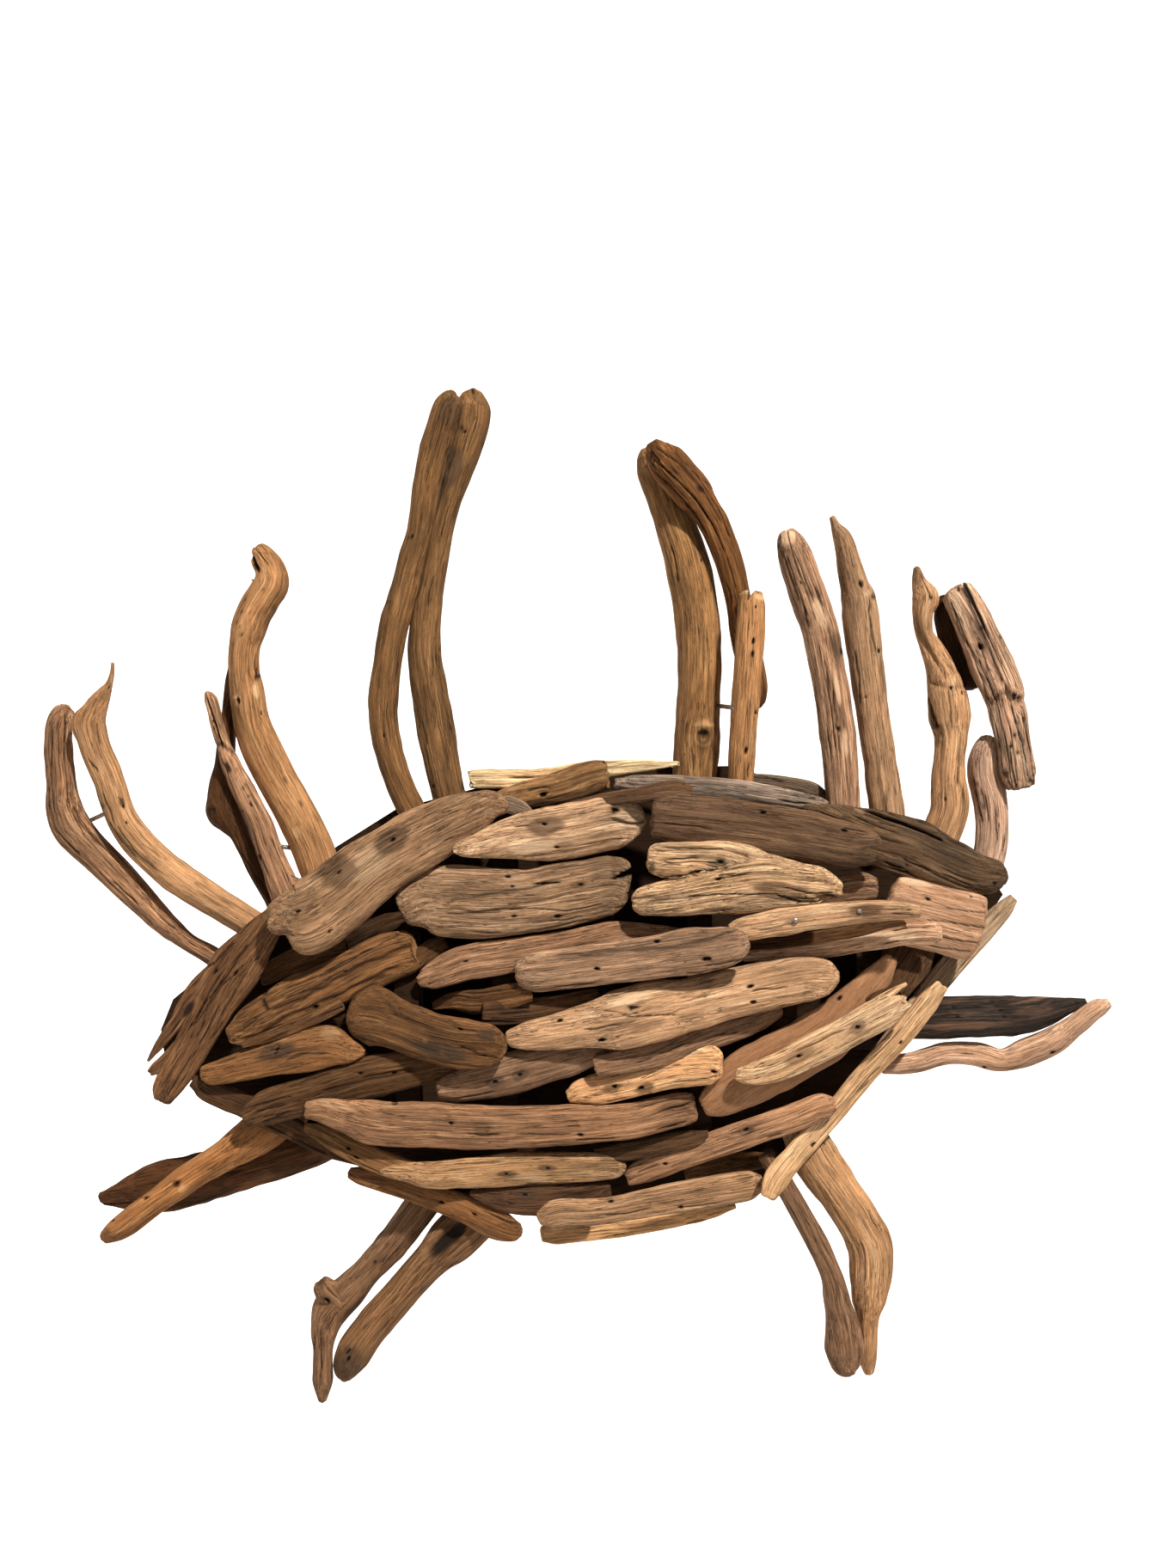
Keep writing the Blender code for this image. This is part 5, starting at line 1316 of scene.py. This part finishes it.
class Graph:
    """A new material, and short names for the shader nodes that it is made of."""

    def __init__(self, name):
        self.material = bpy.data.materials.new(name)
        self.material.use_nodes = True
        self.tree = self.material.node_tree
        self.shader = self.tree.nodes["Principled BSDF"]

    def give(self, node, values):
        """Links or sets a node's inputs."""
        for key, value in values.items():
            if isinstance(value, bpy.types.NodeSocket):
                self.tree.links.new(value, node.inputs[key])
            else:
                node.inputs[key].default_value = value

    def add(self, kind, values, **settings):
        made = self.tree.nodes.new(kind)
        for key, value in settings.items():
            setattr(made, key, value)
        self.give(made, values)
        return made

    def attribute(self, name):
        return self.add("ShaderNodeAttribute", {}, attribute_name=name).outputs["Vector"]

    def place(self):
        return self.add("ShaderNodeTexCoord", {}).outputs["Object"]

    def split(self, vector):
        return self.add("ShaderNodeSeparateXYZ", {0: vector}).outputs

    def math(self, operation, a, b=0.0):
        return self.add("ShaderNodeMath", {0: a, 1: b}, operation=operation).outputs[0]

    def times(self, a, b):
        return self.math("MULTIPLY", a, b)

    def off_middle(self, value):
        """How far a noise is from its middle value."""
        return self.math("ABSOLUTE", self.math("SUBTRACT", value, 0.5))

    def ease(self, value, low, high, to_low=0.0, to_high=1.0):
        values = {0: value, 1: low, 2: high, 3: to_low, 4: to_high}
        return self.add("ShaderNodeMapRange", values, interpolation_type="SMOOTHSTEP").outputs[0]

    def noise(self, vector, scales, shift=(0, 0, 0), detail=2.0, roughness=0.5, distortion=0.0):
        """Noise from 0 to 1 with this many features a metre along each axis of the vector."""
        placed = self.add("ShaderNodeVectorMath", {0: vector, 1: scales, 2: shift}, operation="MULTIPLY_ADD")
        values = {"Vector": placed.outputs[0], "Scale": 1.0, "Detail": detail, "Roughness": roughness,
                  "Distortion": distortion}
        return self.add("ShaderNodeTexNoise", values).outputs[0]

    def mix(self, factor, a, b, blend="MIX"):
        made = self.add("ShaderNodeMix", {0: factor, 6: a, 7: b}, data_type="RGBA", blend_type=blend)
        return made.outputs[2]

    def bump(self, height, distance, strength):
        values = {"Height": height, "Distance": distance, "Strength": strength}
        return self.add("ShaderNodeBump", values).outputs[0]


def linear(*colour):
    """A colour in sRGB bytes as the linear values that a shader takes."""
    values = []
    for share in (byte / 255 for byte in colour):
        values.append(share / 12.92 if share <= 0.04045 else ((share + 0.055) / 1.055) ** 2.4)
    return (*values, 1.0)


# Near-black for painted shade in cracks, holes, splits, creases and under edges, and for the dark checks and
# specks of the grain.
CREVICE_SHADE_AND_SPECKS = linear(20, 14, 10)
WEATHERED_DARK, WEATHERED_LIGHT = linear(52, 43, 34), linear(86, 71, 57)
# The noises of the wood, in the order in which wood_material names them: features a metre along the grain and
# across it, detail, roughness and distortion.
WOOD_NOISES = [
    (9, 38, 5.0, 0.66, 0.0), (16, 200, 6.0, 0.7, 0.35), (30, 880, 5.0, 0.7, 0.2), (6, 330, 2.0, 0.5, 0.5),
    (64, 1150, 2.0, 0.5, 0.0), (24, 100, 2.0, 0.5, 0.0), (9, 400, 3.0, 0.6, 0.5), (380, 800, 1.0, 0.5, 0.0),
    (300, 1300, 2.0, 0.7, 0.0), (12, 62, 4.0, 0.65, 0.0),
]


def wood_material(name, wood, look, seed):
    """Weathered wood that follows the piece's own grain."""
    g = Graph(name + "_wood")
    contrast, checked = look["contrast"], look["checks"]
    # For some pieces the brightness factor holds painted light and painted shade.
    tint = look["tone_and_painted_light"] * look["warm"] ** 0.8, look["tone_and_painted_light"], look["tone_and_painted_light"] / look["warm"] ** 1.2
    base, second, pale, dark = (linear(*(min(255, byte * t) for byte, t in zip(c, tint))) for c in wood[1:])
    grain = g.attribute("grain")
    stain, hollow, light = g.split(g.attribute("marks"))
    patch, knot, _ = g.split(g.attribute("tones"))
    shift = (seed * 3.7, seed * 1.9, seed * 2.3)
    found = [g.noise(grain, (along, across, across), shift, *rest) for along, across, *rest in WOOD_NOISES]
    clouds, streak, fibre, band, dash, rare, check, speck, grit, broad = found

    mixed = g.math("MAXIMUM", g.ease(clouds, 0.40, 0.66, 0.0, 0.85), patch)
    colour = g.mix(mixed, base, second)
    colour = g.mix(g.ease(streak, 0.50, 0.72, 0.0, 0.45 * contrast), colour, pale)
    colour = g.mix(g.ease(streak, 0.50, 0.28, 0.0, 0.34 * contrast), colour, dark)
    tone = g.ease(fibre, 0.36, 0.64, 1.0 - 0.36 * contrast, 1.0 + 0.24 * contrast)
    tone = g.times(tone, g.ease(grit, 0.34, 0.66, 0.89, 1.10))
    tone = g.times(tone, g.ease(broad, 0.36, 0.64, 1.0 - 0.20 * contrast, 1.0 + 0.15 * contrast))
    tone_colour = g.add("ShaderNodeCombineColor", {0: tone, 1: tone, 2: tone}).outputs[0]
    colour = g.mix(1.0, colour, tone_colour, "MULTIPLY")
    late_wood = g.ease(g.off_middle(band), 0.002, 0.014, 0.6 * contrast, 0.0)
    colour = g.mix(late_wood, colour, dark)
    dashes = g.times(g.ease(dash, 0.61, 0.69), g.ease(rare, 0.34, 0.58, 0.2, 1.0))
    colour = g.mix(g.times(dashes, 0.5 * contrast), colour, dark)
    checks = g.times(g.ease(g.off_middle(check), 0.003, 0.012, 1.0, 0.0), g.ease(rare, 0.47, 0.56))
    colour = g.mix(g.times(checks, 0.8 * checked), colour, CREVICE_SHADE_AND_SPECKS)
    specks = g.ease(speck, 0.70, 0.78, 0.0, 0.5 * checked)
    colour = g.mix(specks, colour, CREVICE_SHADE_AND_SPECKS)
    knot_ring = g.math("SINE", g.times(knot, 21.0))
    knotted = g.times(g.ease(knot, 0.12, 0.75, 0.0, 0.85), g.ease(knot_ring, -0.6, 0.8, 0.45, 1.0))
    colour = g.mix(light, g.mix(knotted, colour, dark), pale)
    stained = g.times(stain, g.ease(clouds, 0.25, 0.65, 0.78, 1.0))
    weathered = g.mix(g.ease(fibre, 0.3, 0.7), WEATHERED_DARK, WEATHERED_LIGHT)
    colour = g.mix(stained, colour, g.mix(0.45, weathered, dark))
    # Painted shade in the cracks, holes, grooves, splits and creases that the field hollow marks.
    colour = g.mix(hollow, colour, CREVICE_SHADE_AND_SPECKS)
    rough = g.ease(fibre, 0.3, 0.7, look["rough"] - 0.06, look["rough"] + 0.07)

    relief = g.math("ADD", g.times(fibre, 0.55), g.times(late_wood, -0.5))
    relief = g.math("ADD", relief, g.times(g.math("ADD", streak, g.times(grit, 0.3)), 0.6))
    relief = g.math("SUBTRACT", relief, g.times(dashes, 0.55))
    relief = g.math("SUBTRACT", relief, g.times(checks, 1.2 * checked))
    relief = g.math("SUBTRACT", relief, g.times(specks, 0.5))
    g.give(g.shader, {"Base Color": colour, "Roughness": rough, "Specular IOR Level": 0.14,
                      "Normal": g.bump(relief, 0.0015 * look["relief"], 0.95)})
    return g.material


def nail_material():
    g = Graph("nail_steel")
    rust = g.ease(g.noise(g.place(), (500, 500, 500), detail=3.0, roughness=0.6), 0.42, 0.62)
    colour = g.mix(rust, linear(176, 170, 160), linear(96, 66, 46))
    rough, metallic = g.ease(rust, 0.0, 1.0, 0.32, 0.75), g.ease(rust, 0.0, 1.0, 0.9, 0.1)
    g.give(g.shader, {"Base Color": colour, "Roughness": rough, "Metallic": metallic,
                      "Normal": g.bump(rust, 0.0002, 0.6)})
    return g.material


# Near-black wood for the back panel, which shows only in the gaps between the planks: its dark is painted
# shade there.
def panel_gap_shade_material():
    g = Graph("panel_wood_gap_shade")
    place = g.place()
    broad = g.noise(place, (7, 30, 40), detail=3.0, roughness=0.6)
    fibre = g.noise(place, (25, 400, 480), (3, 1, 2), 4.0, 0.6, 0.2)
    pore = g.noise(place, (70, 900, 1100), (1, 5, 2), 1.0, 0.5)
    colour = g.mix(g.ease(broad, 0.35, 0.7), linear(44, 29, 17), linear(30, 20, 13))
    colour = g.mix(g.ease(fibre, 0.3, 0.7, 0.0, 0.45), colour, linear(50, 33, 20))
    pores = g.ease(pore, 0.58, 0.68)
    colour = g.mix(g.times(pores, 0.6), colour, linear(14, 10, 7))
    rough = g.ease(fibre, 0.3, 0.7, 0.72, 0.86)
    relief = g.math("SUBTRACT", g.times(fibre, 0.5), g.times(pores, 0.6))
    g.give(g.shader, {"Base Color": colour, "Roughness": rough, "Specular IOR Level": 0.06,
                      "Normal": g.bump(relief, 0.0005, 0.8)})
    return g.material


def floor_material():
    g = Graph("floor_paint")
    colour = g.mix(g.noise(g.place(), (0.7, 0.7, 0.7)), (0.80, 0.80, 0.80, 1), (0.83, 0.83, 0.83, 1))
    g.give(g.shader, {"Base Color": colour, "Roughness": 0.9})
    return g.material


# How far off the wall the middle of the piece under the two-lobed plank is.
UNDER_TWO_LOBED = 0.068
# Small pieces that show between the planks: name, wood, section, the nodes that each lies on (or its height),
# and its route.
SLIVERS = [
    ("sliver_top_grey", "GREY_BROWN", HALF_ROUND, ["back_panel"], [
        (860, 905, 8), (880, 907, 14), (915, 912, 18), (945, 919, 20), (962, 928, 10)]),
    ("sliver_curled", "BROWN", LATH, ["shell_top_brown", "shell_top_grey"], [
        (655, 938, 8), (700, 930, 15), (745, 925, 20), (785, 919, 24), (806, 921, 14)]),
    ("sliver_top_left", "GREY_BROWN", LATH, ["shell_top_brown"], [
        (572, 934, 12), (592, 936, 22), (606, 941, 20), (620, 948, 10)]),
    ("sliver_left_brown", "BROWN", LATH, ["back_panel"], [
        (300, 1140, 18), (330, 1124, 30), (365, 1110, 34), (405, 1100, 24)]),
    ("sliver_left_pale", "TAN", LATH, ["back_panel"], [
        (400, 1100, 14), (425, 1086, 26), (450, 1074, 26), (474, 1064, 14)]),
    ("sliver_left_round", "BROWN", HALF_ROUND, ["back_panel"], [
        (520, 1096, 20), (500, 1106, 26), (488, 1116, 22), (482, 1128, 12)]),
    ("sliver_ridge", "TAN", LATH, ["shell_left_ridged"], [
        (280, 1217, 8), (320, 1203, 14), (360, 1187, 16), (400, 1168, 14)]),
    ("sliver_right_end", "GREY_BROWN", HALF_ROUND, UNDER_TWO_LOBED, [
        (925, 1048, 20), (950, 1042, 26), (975, 1036, 31), (1003, 1032, 33), (1023, 1033, 22)]),
    ("sliver_middle_upper", "BROWN", LATH, ["back_panel", "shell_left_ridged"], [
        (500, 1172, 10), (525, 1165, 22), (555, 1165, 30), (590, 1158, 30), (620, 1152, 24)]),
    ("sliver_middle_lower", "DARK", LATH, ["back_panel"], [
        (560, 1179, 28), (600, 1177, 30), (640, 1172, 30), (700, 1160, 24)]),
    ("sliver_under_long", "PINK_TAN", LATH, ["back_panel", "shell_inner_right"], [
        (690, 1240, 26), (760, 1226, 34), (820, 1204, 40), (880, 1184, 34), (910, 1172, 20)]),
    ("sliver_right_board", "BROWN", LATH, ["back_panel", "rim_right_back"], [
        (1078, 1085, 40), (1056, 1115, 60), (1036, 1145, 48), (1012, 1172, 26)]),
    ("sliver_bottom", "TAN", LATH, ["back_panel"], [
        (795, 1366, 14), (820, 1360, 22), (855, 1352, 26), (892, 1349, 18)]),
    ("sliver_slot", "BROWN", LATH, ["back_panel", "shell_right_block"], [
        (850, 1110, 24), (900, 1104, 30), (960, 1096, 30), (1010, 1084, 26), (1052, 1074, 14)]),
    ("sliver_low_dark", "DARK", LATH, ["back_panel"], [
        (690, 1345, 18), (740, 1338, 26), (790, 1328, 26), (826, 1320, 14)]),
]
# How a small piece's bed is measured: stations along it, places across each as shares of the width, and the
# height off the wall from which the search starts.
BED_STATIONS = 14
BED_OFFSETS = (-0.35, 0, 0.35)
FIRST_HEIGHT = 0.045
# The most that a small piece may rise along its length, as rise over run.
SLIVER_LEAN = 0.25

# Nail heads, each as seen: the node it is in, across, down, and its radius in metres.
NAILS = [("shell_right_stick", 925, 1071, 0.0021), ("shell_right_stick", 1000, 1060, 0.0019)]
# A nail head's height and its shank's radius as shares of the head's radius; the shank's length, and the gap
# that the head leaves over the wood, in metres.
NAIL_DOME, SHANK_SHARE = 0.42, 0.5
SHANK_LENGTH, NAIL_GAP = 0.006, 0.0003
NAIL_SIDES = 20
DOME_TURNS = np.linspace(0, math.pi / 2, 6)
# Thin nails that bridge two sticks: both nodes, and both ends as seen.
PINS = [
    ("left_arm_outer", "left_arm_inner", (105, 954), (117, 948)),
    ("left_claw_middle", "left_claw_inner", (327, 985), (337, 986)),
    ("left_claw_middle", "left_claw_inner", (341, 1021), (350, 1025)),
    ("right_horn_wide", "right_horn_front", (834, 821), (852, 823)),
]
PIN_RADIUS = 0.0017
PIN_REACH = 0.004
# How many of the nearest points of a stick tell how high off the wall a pin leaves it.
PIN_NEAREST = 40

# Wedges: stations along each side, how far it starts before the mouth, its back and front in y, the cell and
# the share of its wobble, and how dark the painted shade on its walls is.
WEDGE_STATIONS = 12
WEDGE_LEAD = 0.01
WEDGE_DEPTHS = (-0.2, 0.1)
WEDGE_CELL, WEDGE_WOBBLE = 0.007, 0.35
WEDGE_SHADE = 0.72

# The room: a pale floor well below, turned up all round into a plain wall.
FLOOR = -1.6
FLOOR_RADIUS = 5.0
BEND_RADIUS = 2.0
BEND_STEPS = 12
WALL_TOP = 5.0
ROOM_SIDES = 96
ROOM_LIGHT, ROOM_STRENGTH = (1.0, 0.86, 0.70, 1), 0.10
SENSOR = 36.0

# The ends of a piece that others cover at its start, as they do limbs and prongs.
ROOTED = ("hidden", "worn")
LIMB_NAMES = [limb[0] for limb in LIMBS]
# Seeds: the first small piece's, and how far apart those of two pieces' carvings and of two prongs are.
FIRST_SLIVER_SEED = 71
PIECE_SEEDS, PRONG_SEEDS = 100, 10


def cut_split(made, points, fields, name, height):
    """Cuts a ragged wedge out of a piece and paints shade on its walls."""
    *corners, width = SPLITS[name]
    mouth, apex = np.array(seen_at(*corners[:2], height)), np.array(seen_at(*corners[2:], height))
    reach = np.linalg.norm(apex - mouth)
    ahead = (apex - mouth) / reach
    side = np.array([-ahead[1], ahead[0]])
    half = width * PIXEL / 2
    shares = np.linspace(0, 1, WEDGE_STATIONS)
    rim = [mouth - ahead * WEDGE_LEAD + side * half * sign for sign in (-1, 1)]
    for sign, order in ((1, shares), (-1, shares[-2::-1])):
        for share in order:
            wobble = noise(np.array([[share * reach, sign, 0.3]]), (WEDGE_CELL, 1, 1), len(name))[0]
            open_by = half * (1 - share) * (1 + WEDGE_WOBBLE * wobble)
            rim.append(mouth + ahead * reach * share + side * open_by * sign)
    count = len(rim)
    faces = [tuple(range(count)), tuple(range(2 * count - 1, count - 1, -1))]
    faces += [(i, i + count, (i + 1) % count + count, (i + 1) % count) for i in range(count)]
    wedge = add_object(name + "_wedge", [(x, y, z) for y in WEDGE_DEPTHS for x, z in rim], faces)
    cut = made.modifiers.new("split", "BOOLEAN")
    cut.operation = "DIFFERENCE"
    cut.solver = "MANIFOLD"
    cut.object = wedge
    bpy.context.view_layer.update()
    depsgraph = bpy.context.evaluated_depsgraph_get()
    carved = bpy.data.meshes.new_from_object(made.evaluated_get(depsgraph))
    made.modifiers.clear()
    made.data = carved
    carved.materials.clear()
    carved.polygons.foreach_set("material_index", [0] * len(carved.polygons))
    carved.polygons.foreach_set("use_smooth", [True] * len(carved.polygons))
    bpy.data.objects.remove(wedge)
    tree = KDTree(len(points))
    for number, point in enumerate(points.tolist()):
        tree.insert(point, number)
    tree.balance()
    found = [tree.find(vert.co) for vert in carved.vertices]
    nearest = np.array([hit[1] for hit in found])
    fields = {key: values[nearest] for key, values in fields.items()}
    on_wall = np.array([hit[2] for hit in found]) > 1e-6
    # Painted shade on the split's walls.
    fields["hollow"] = np.maximum(fields["hollow"], np.where(on_wall, WEDGE_SHADE, 0))
    write_fields(carved, fields)


def look_of(name):
    """The plain look with what sets this piece apart."""
    rooted = {"ends": ROOTED} if name in LIMB_NAMES else {}
    return {**PLAIN_LOOK, **rooted, **LOOKS.get(name, {})}


def finish_piece(made, name, wood, seed):
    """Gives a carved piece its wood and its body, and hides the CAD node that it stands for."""
    look = look_of(name)
    made.data.materials.append(wood_material(name, WOODS[look.get("wood", wood)], look, seed))
    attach(made, "root")
    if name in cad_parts:
        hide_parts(name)


def dress(name, wood, section, route, seed):
    """Carves the piece that stands for a CAD node."""
    look = look_of(name)
    points, tree = node_points(name)
    height = -points[:, 1].mean()
    spots = spots_of(route, height)
    heading = headings_of(spots)
    sides = np.stack([-heading[:, 1], heading[:, 0]], axis=1)
    bed = bed_of(tree, spots, sides, [width * PIXEL for across, down, width in route])
    marks = MARKS.get(name, [])
    surfaces = [carve(route, section, height, bed, seed * PIECE_SEEDS, look, marks)]
    flat_bed = bed * np.array([1, 1, 1, 0])
    pronged = {**look, "ends": ROOTED}
    for number, line in enumerate(PRONGS.get(name, []), 1):
        prong_seed = seed * PIECE_SEEDS + number * PRONG_SEEDS
        surfaces.append(carve(line, section, height, flat_bed, prong_seed, pronged, marks))
    points, faces, fields = join_surfaces(surfaces)
    made = add_object(name + "_carved", points, faces)
    write_fields(made.data, fields)
    if name in SPLITS:
        cut_split(made, points, fields, name, height)
    finish_piece(made, name, wood, seed)
    return made


def bed_on(names, section, route):
    """How a small piece lies on these nodes: its height off the wall, and the values of its bed."""
    trees = [node_points(name)[1] for name in names]
    share = np.linspace(0, len(route) - 1, BED_STATIONS)
    route = np.array([np.interp(share, np.arange(len(route)), column) for column in zip(*route)]).T
    thickness = section[0] * route[:, 2].max() * PIXEL
    height = FIRST_HEIGHT
    for attempt in range(2):
        spots = spots_of(route, height)
        ahead = (spots[-1] - spots[0]) / np.linalg.norm(spots[-1] - spots[0])
        side = np.array([-ahead[1], ahead[0]])
        rows, fronts = [], []
        for spot, width in zip(spots, route[:, 2] * PIXEL):
            for offset in BED_OFFSETS:
                x, z = spot + side * width * offset
                hits = [tree.ray_cast(Vector((x, -1, z)), Vector((0, 1, 0)))[0] for tree in trees]
                hits = [hit.y for hit in hits if hit]
                if hits:
                    rows.append((1, (spot - spots[0]) @ ahead))
                    fronts.append(min(hits))
        rows, fronts = np.array(rows), np.array(fronts)
        slope = np.clip(np.linalg.lstsq(rows, fronts, rcond=None)[0][1], -SLIVER_LEAN, SLIVER_LEAN)
        level = (fronts - rows[:, 1] * slope).min() - thickness / 2
        height = -(level + slope * rows[:, 1].mean())
    return height, np.array([level - slope * (spots[0] @ ahead), slope * ahead[0], slope * ahead[1], 0])


def add_sliver(name, wood, section, carriers, route, seed):
    """Carves a small piece that the CAD model leaves out."""
    if carriers == UNDER_TWO_LOBED:
        height, bed = carriers, np.array([-carriers, 0, 0, 0])
    else:
        height, bed = bed_on(carriers, section, route)
    marks = MARKS.get(name, [])
    points, faces, fields = carve(route, section, height, bed, seed * PIECE_SEEDS, look_of(name), marks)
    made = add_object(name, points, faces)
    write_fields(made.data, fields)
    finish_piece(made, name, wood, seed)


def circle(count):
    """The cosine and sine of each step round a circle."""
    turns = [2 * math.pi * step / count for step in range(count)]
    return [(math.cos(turn), math.sin(turn)) for turn in turns]


def turned(profile, count):
    """Points and faces of a profile of radii and heights, turned round the axis that the heights lie on."""
    points = [(0, 0, profile[0][1])]
    points += [(radius * c, radius * s, height) for radius, height in profile[1:] for c, s in circle(count)]
    faces = []
    for step in range(count):
        beside = (step + 1) % count
        faces.append((0, 1 + step, 1 + beside))
        for a in range(1, len(points) - count, count):
            faces.append((a + step, a + count + step, a + count + beside, a + beside))
    return points, faces


def add_metal(name, points, faces, finish, smooth_faces):
    made = add_object(name, points, faces, smooth_faces)
    made.data.materials.append(finish)
    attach(made, "root")


def add_nail(number, name, across, down, radius, finish):
    """A nail with a low domed head, driven into a carved piece where it is seen."""
    mesh = carved[name].data
    tree = BVHTree.FromPolygons([v.co for v in mesh.vertices], [tuple(p.vertices) for p in mesh.polygons])
    x, z = seen_at(across, down, 0)
    hit = tree.ray_cast(Vector(EYE), (Vector((x, 0, z)) - Vector(EYE)).normalized())[0]
    profile = [(radius * math.sin(turn), radius * NAIL_DOME * math.cos(turn)) for turn in DOME_TURNS]
    profile += [(radius * SHANK_SHARE, 0), (radius * SHANK_SHARE, -SHANK_LENGTH)]
    points, faces = turned(profile, NAIL_SIDES)
    faces.append(tuple(range(len(points) - NAIL_SIDES, len(points))))
    points = [(hit.x + right, hit.y - out - NAIL_GAP, hit.z + up) for right, up, out in points]
    add_metal(f"nail_{number}", points, faces, finish, True)


def add_pin(number, first, second, start, end, finish):
    """A thin nail that runs out of one stick and into the next."""
    ends = []
    for name, (across, down) in ((first, start), (second, end)):
        points = np.array([v.co for v in carved[name].data.vertices])
        x, z = seen_at(across, down, -points[:, 1].mean())
        near = np.hypot(points[:, 0] - x, points[:, 2] - z).argsort()[:PIN_NEAREST]
        ends.append(Vector((x, points[near, 1].mean(), z)))
    ahead = (ends[1] - ends[0]).normalized()
    side = ahead.cross(Vector((0, 1, 0))).normalized() * PIN_RADIUS
    out = ahead.cross(side)
    middles = (ends[0] - ahead * PIN_REACH, ends[1] + ahead * PIN_REACH)
    points = [middle + side * c + out * s for middle in middles for c, s in circle(NAIL_SIDES)]
    sides = range(NAIL_SIDES)
    faces = [(i, (i + 1) % NAIL_SIDES, NAIL_SIDES + (i + 1) % NAIL_SIDES, NAIL_SIDES + i) for i in sides]
    faces += [tuple(sides), tuple(range(2 * NAIL_SIDES - 1, NAIL_SIDES - 1, -1))]
    add_metal(f"pin_{number}", points, faces, finish, False)


def add_floor():
    profile = [(0.0, FLOOR), (FLOOR_RADIUS, FLOOR)]
    for step in range(1, BEND_STEPS + 1):
        turn = math.pi / 2 * step / BEND_STEPS
        radius, height = BEND_RADIUS * math.sin(turn), BEND_RADIUS * (1 - math.cos(turn))
        profile.append((FLOOR_RADIUS + radius, FLOOR + height))
    profile.append((FLOOR_RADIUS + BEND_RADIUS, WALL_TOP))
    floor = add_object("floor", *turned(profile, ROOM_SIDES), closed=False)
    floor.data.materials.append(floor_material())


def add_sun(name, toward, strength, angle, colour):
    """A sun that shines from this direction, as wide as this angle in degrees."""
    data = bpy.data.lights.new(name, "SUN")
    data.energy = strength
    data.angle = math.radians(angle)
    data.color = colour
    made = bpy.data.objects.new(name, data)
    made.rotation_mode = "QUATERNION"
    made.rotation_quaternion = Vector(toward).to_track_quat("Z", "Y")
    bpy.context.scene.collection.objects.link(made)


carved = {}
for number, (name, wood, section, route) in enumerate(LIMBS + SHELL, 1):
    carved[name] = dress(name, wood, section, route, number)
for number, (name, wood, section, carriers, route) in enumerate(SLIVERS, FIRST_SLIVER_SEED):
    add_sliver(name, wood, section, carriers, route, number)
nail_finish = nail_material()
for number, nail in enumerate(NAILS, 1):
    add_nail(number, *nail, nail_finish)
for number, pin in enumerate(PINS, 1):
    add_pin(number, *pin, nail_finish)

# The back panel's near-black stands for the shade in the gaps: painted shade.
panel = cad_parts["back_panel"]
panel.data.materials.clear()
panel.data.materials.append(panel_gap_shade_material())

add_floor()
add_sun("key", toward=(0.48, -0.76, 1.0), strength=5.9, angle=2.5, colour=(1.0, 0.96, 0.905))
add_sun("back", toward=(-0.3, 1.0, 0.35), strength=0.8, angle=25.0, colour=(1.0, 0.98, 0.96))

world = bpy.data.worlds.new("room_light")
world.use_nodes = True
background = world.node_tree.nodes["Background"]
background.inputs["Color"].default_value = ROOM_LIGHT
background.inputs["Strength"].default_value = ROOM_STRENGTH
bpy.context.scene.world = world

camera_data = bpy.data.cameras.new("camera")
camera_data.sensor_fit = "AUTO"
camera_data.sensor_width = SENSOR
camera_data.lens = SENSOR * VIEW_DISTANCE / (IMAGE_HEIGHT * PIXEL)
camera = bpy.data.objects.new("camera", camera_data)
camera.location = EYE
camera.rotation_euler = (math.pi / 2, 0, 0)
bpy.context.scene.collection.objects.link(camera)
bpy.context.scene.camera = camera

bpy.context.scene.view_settings.view_transform = "Standard"
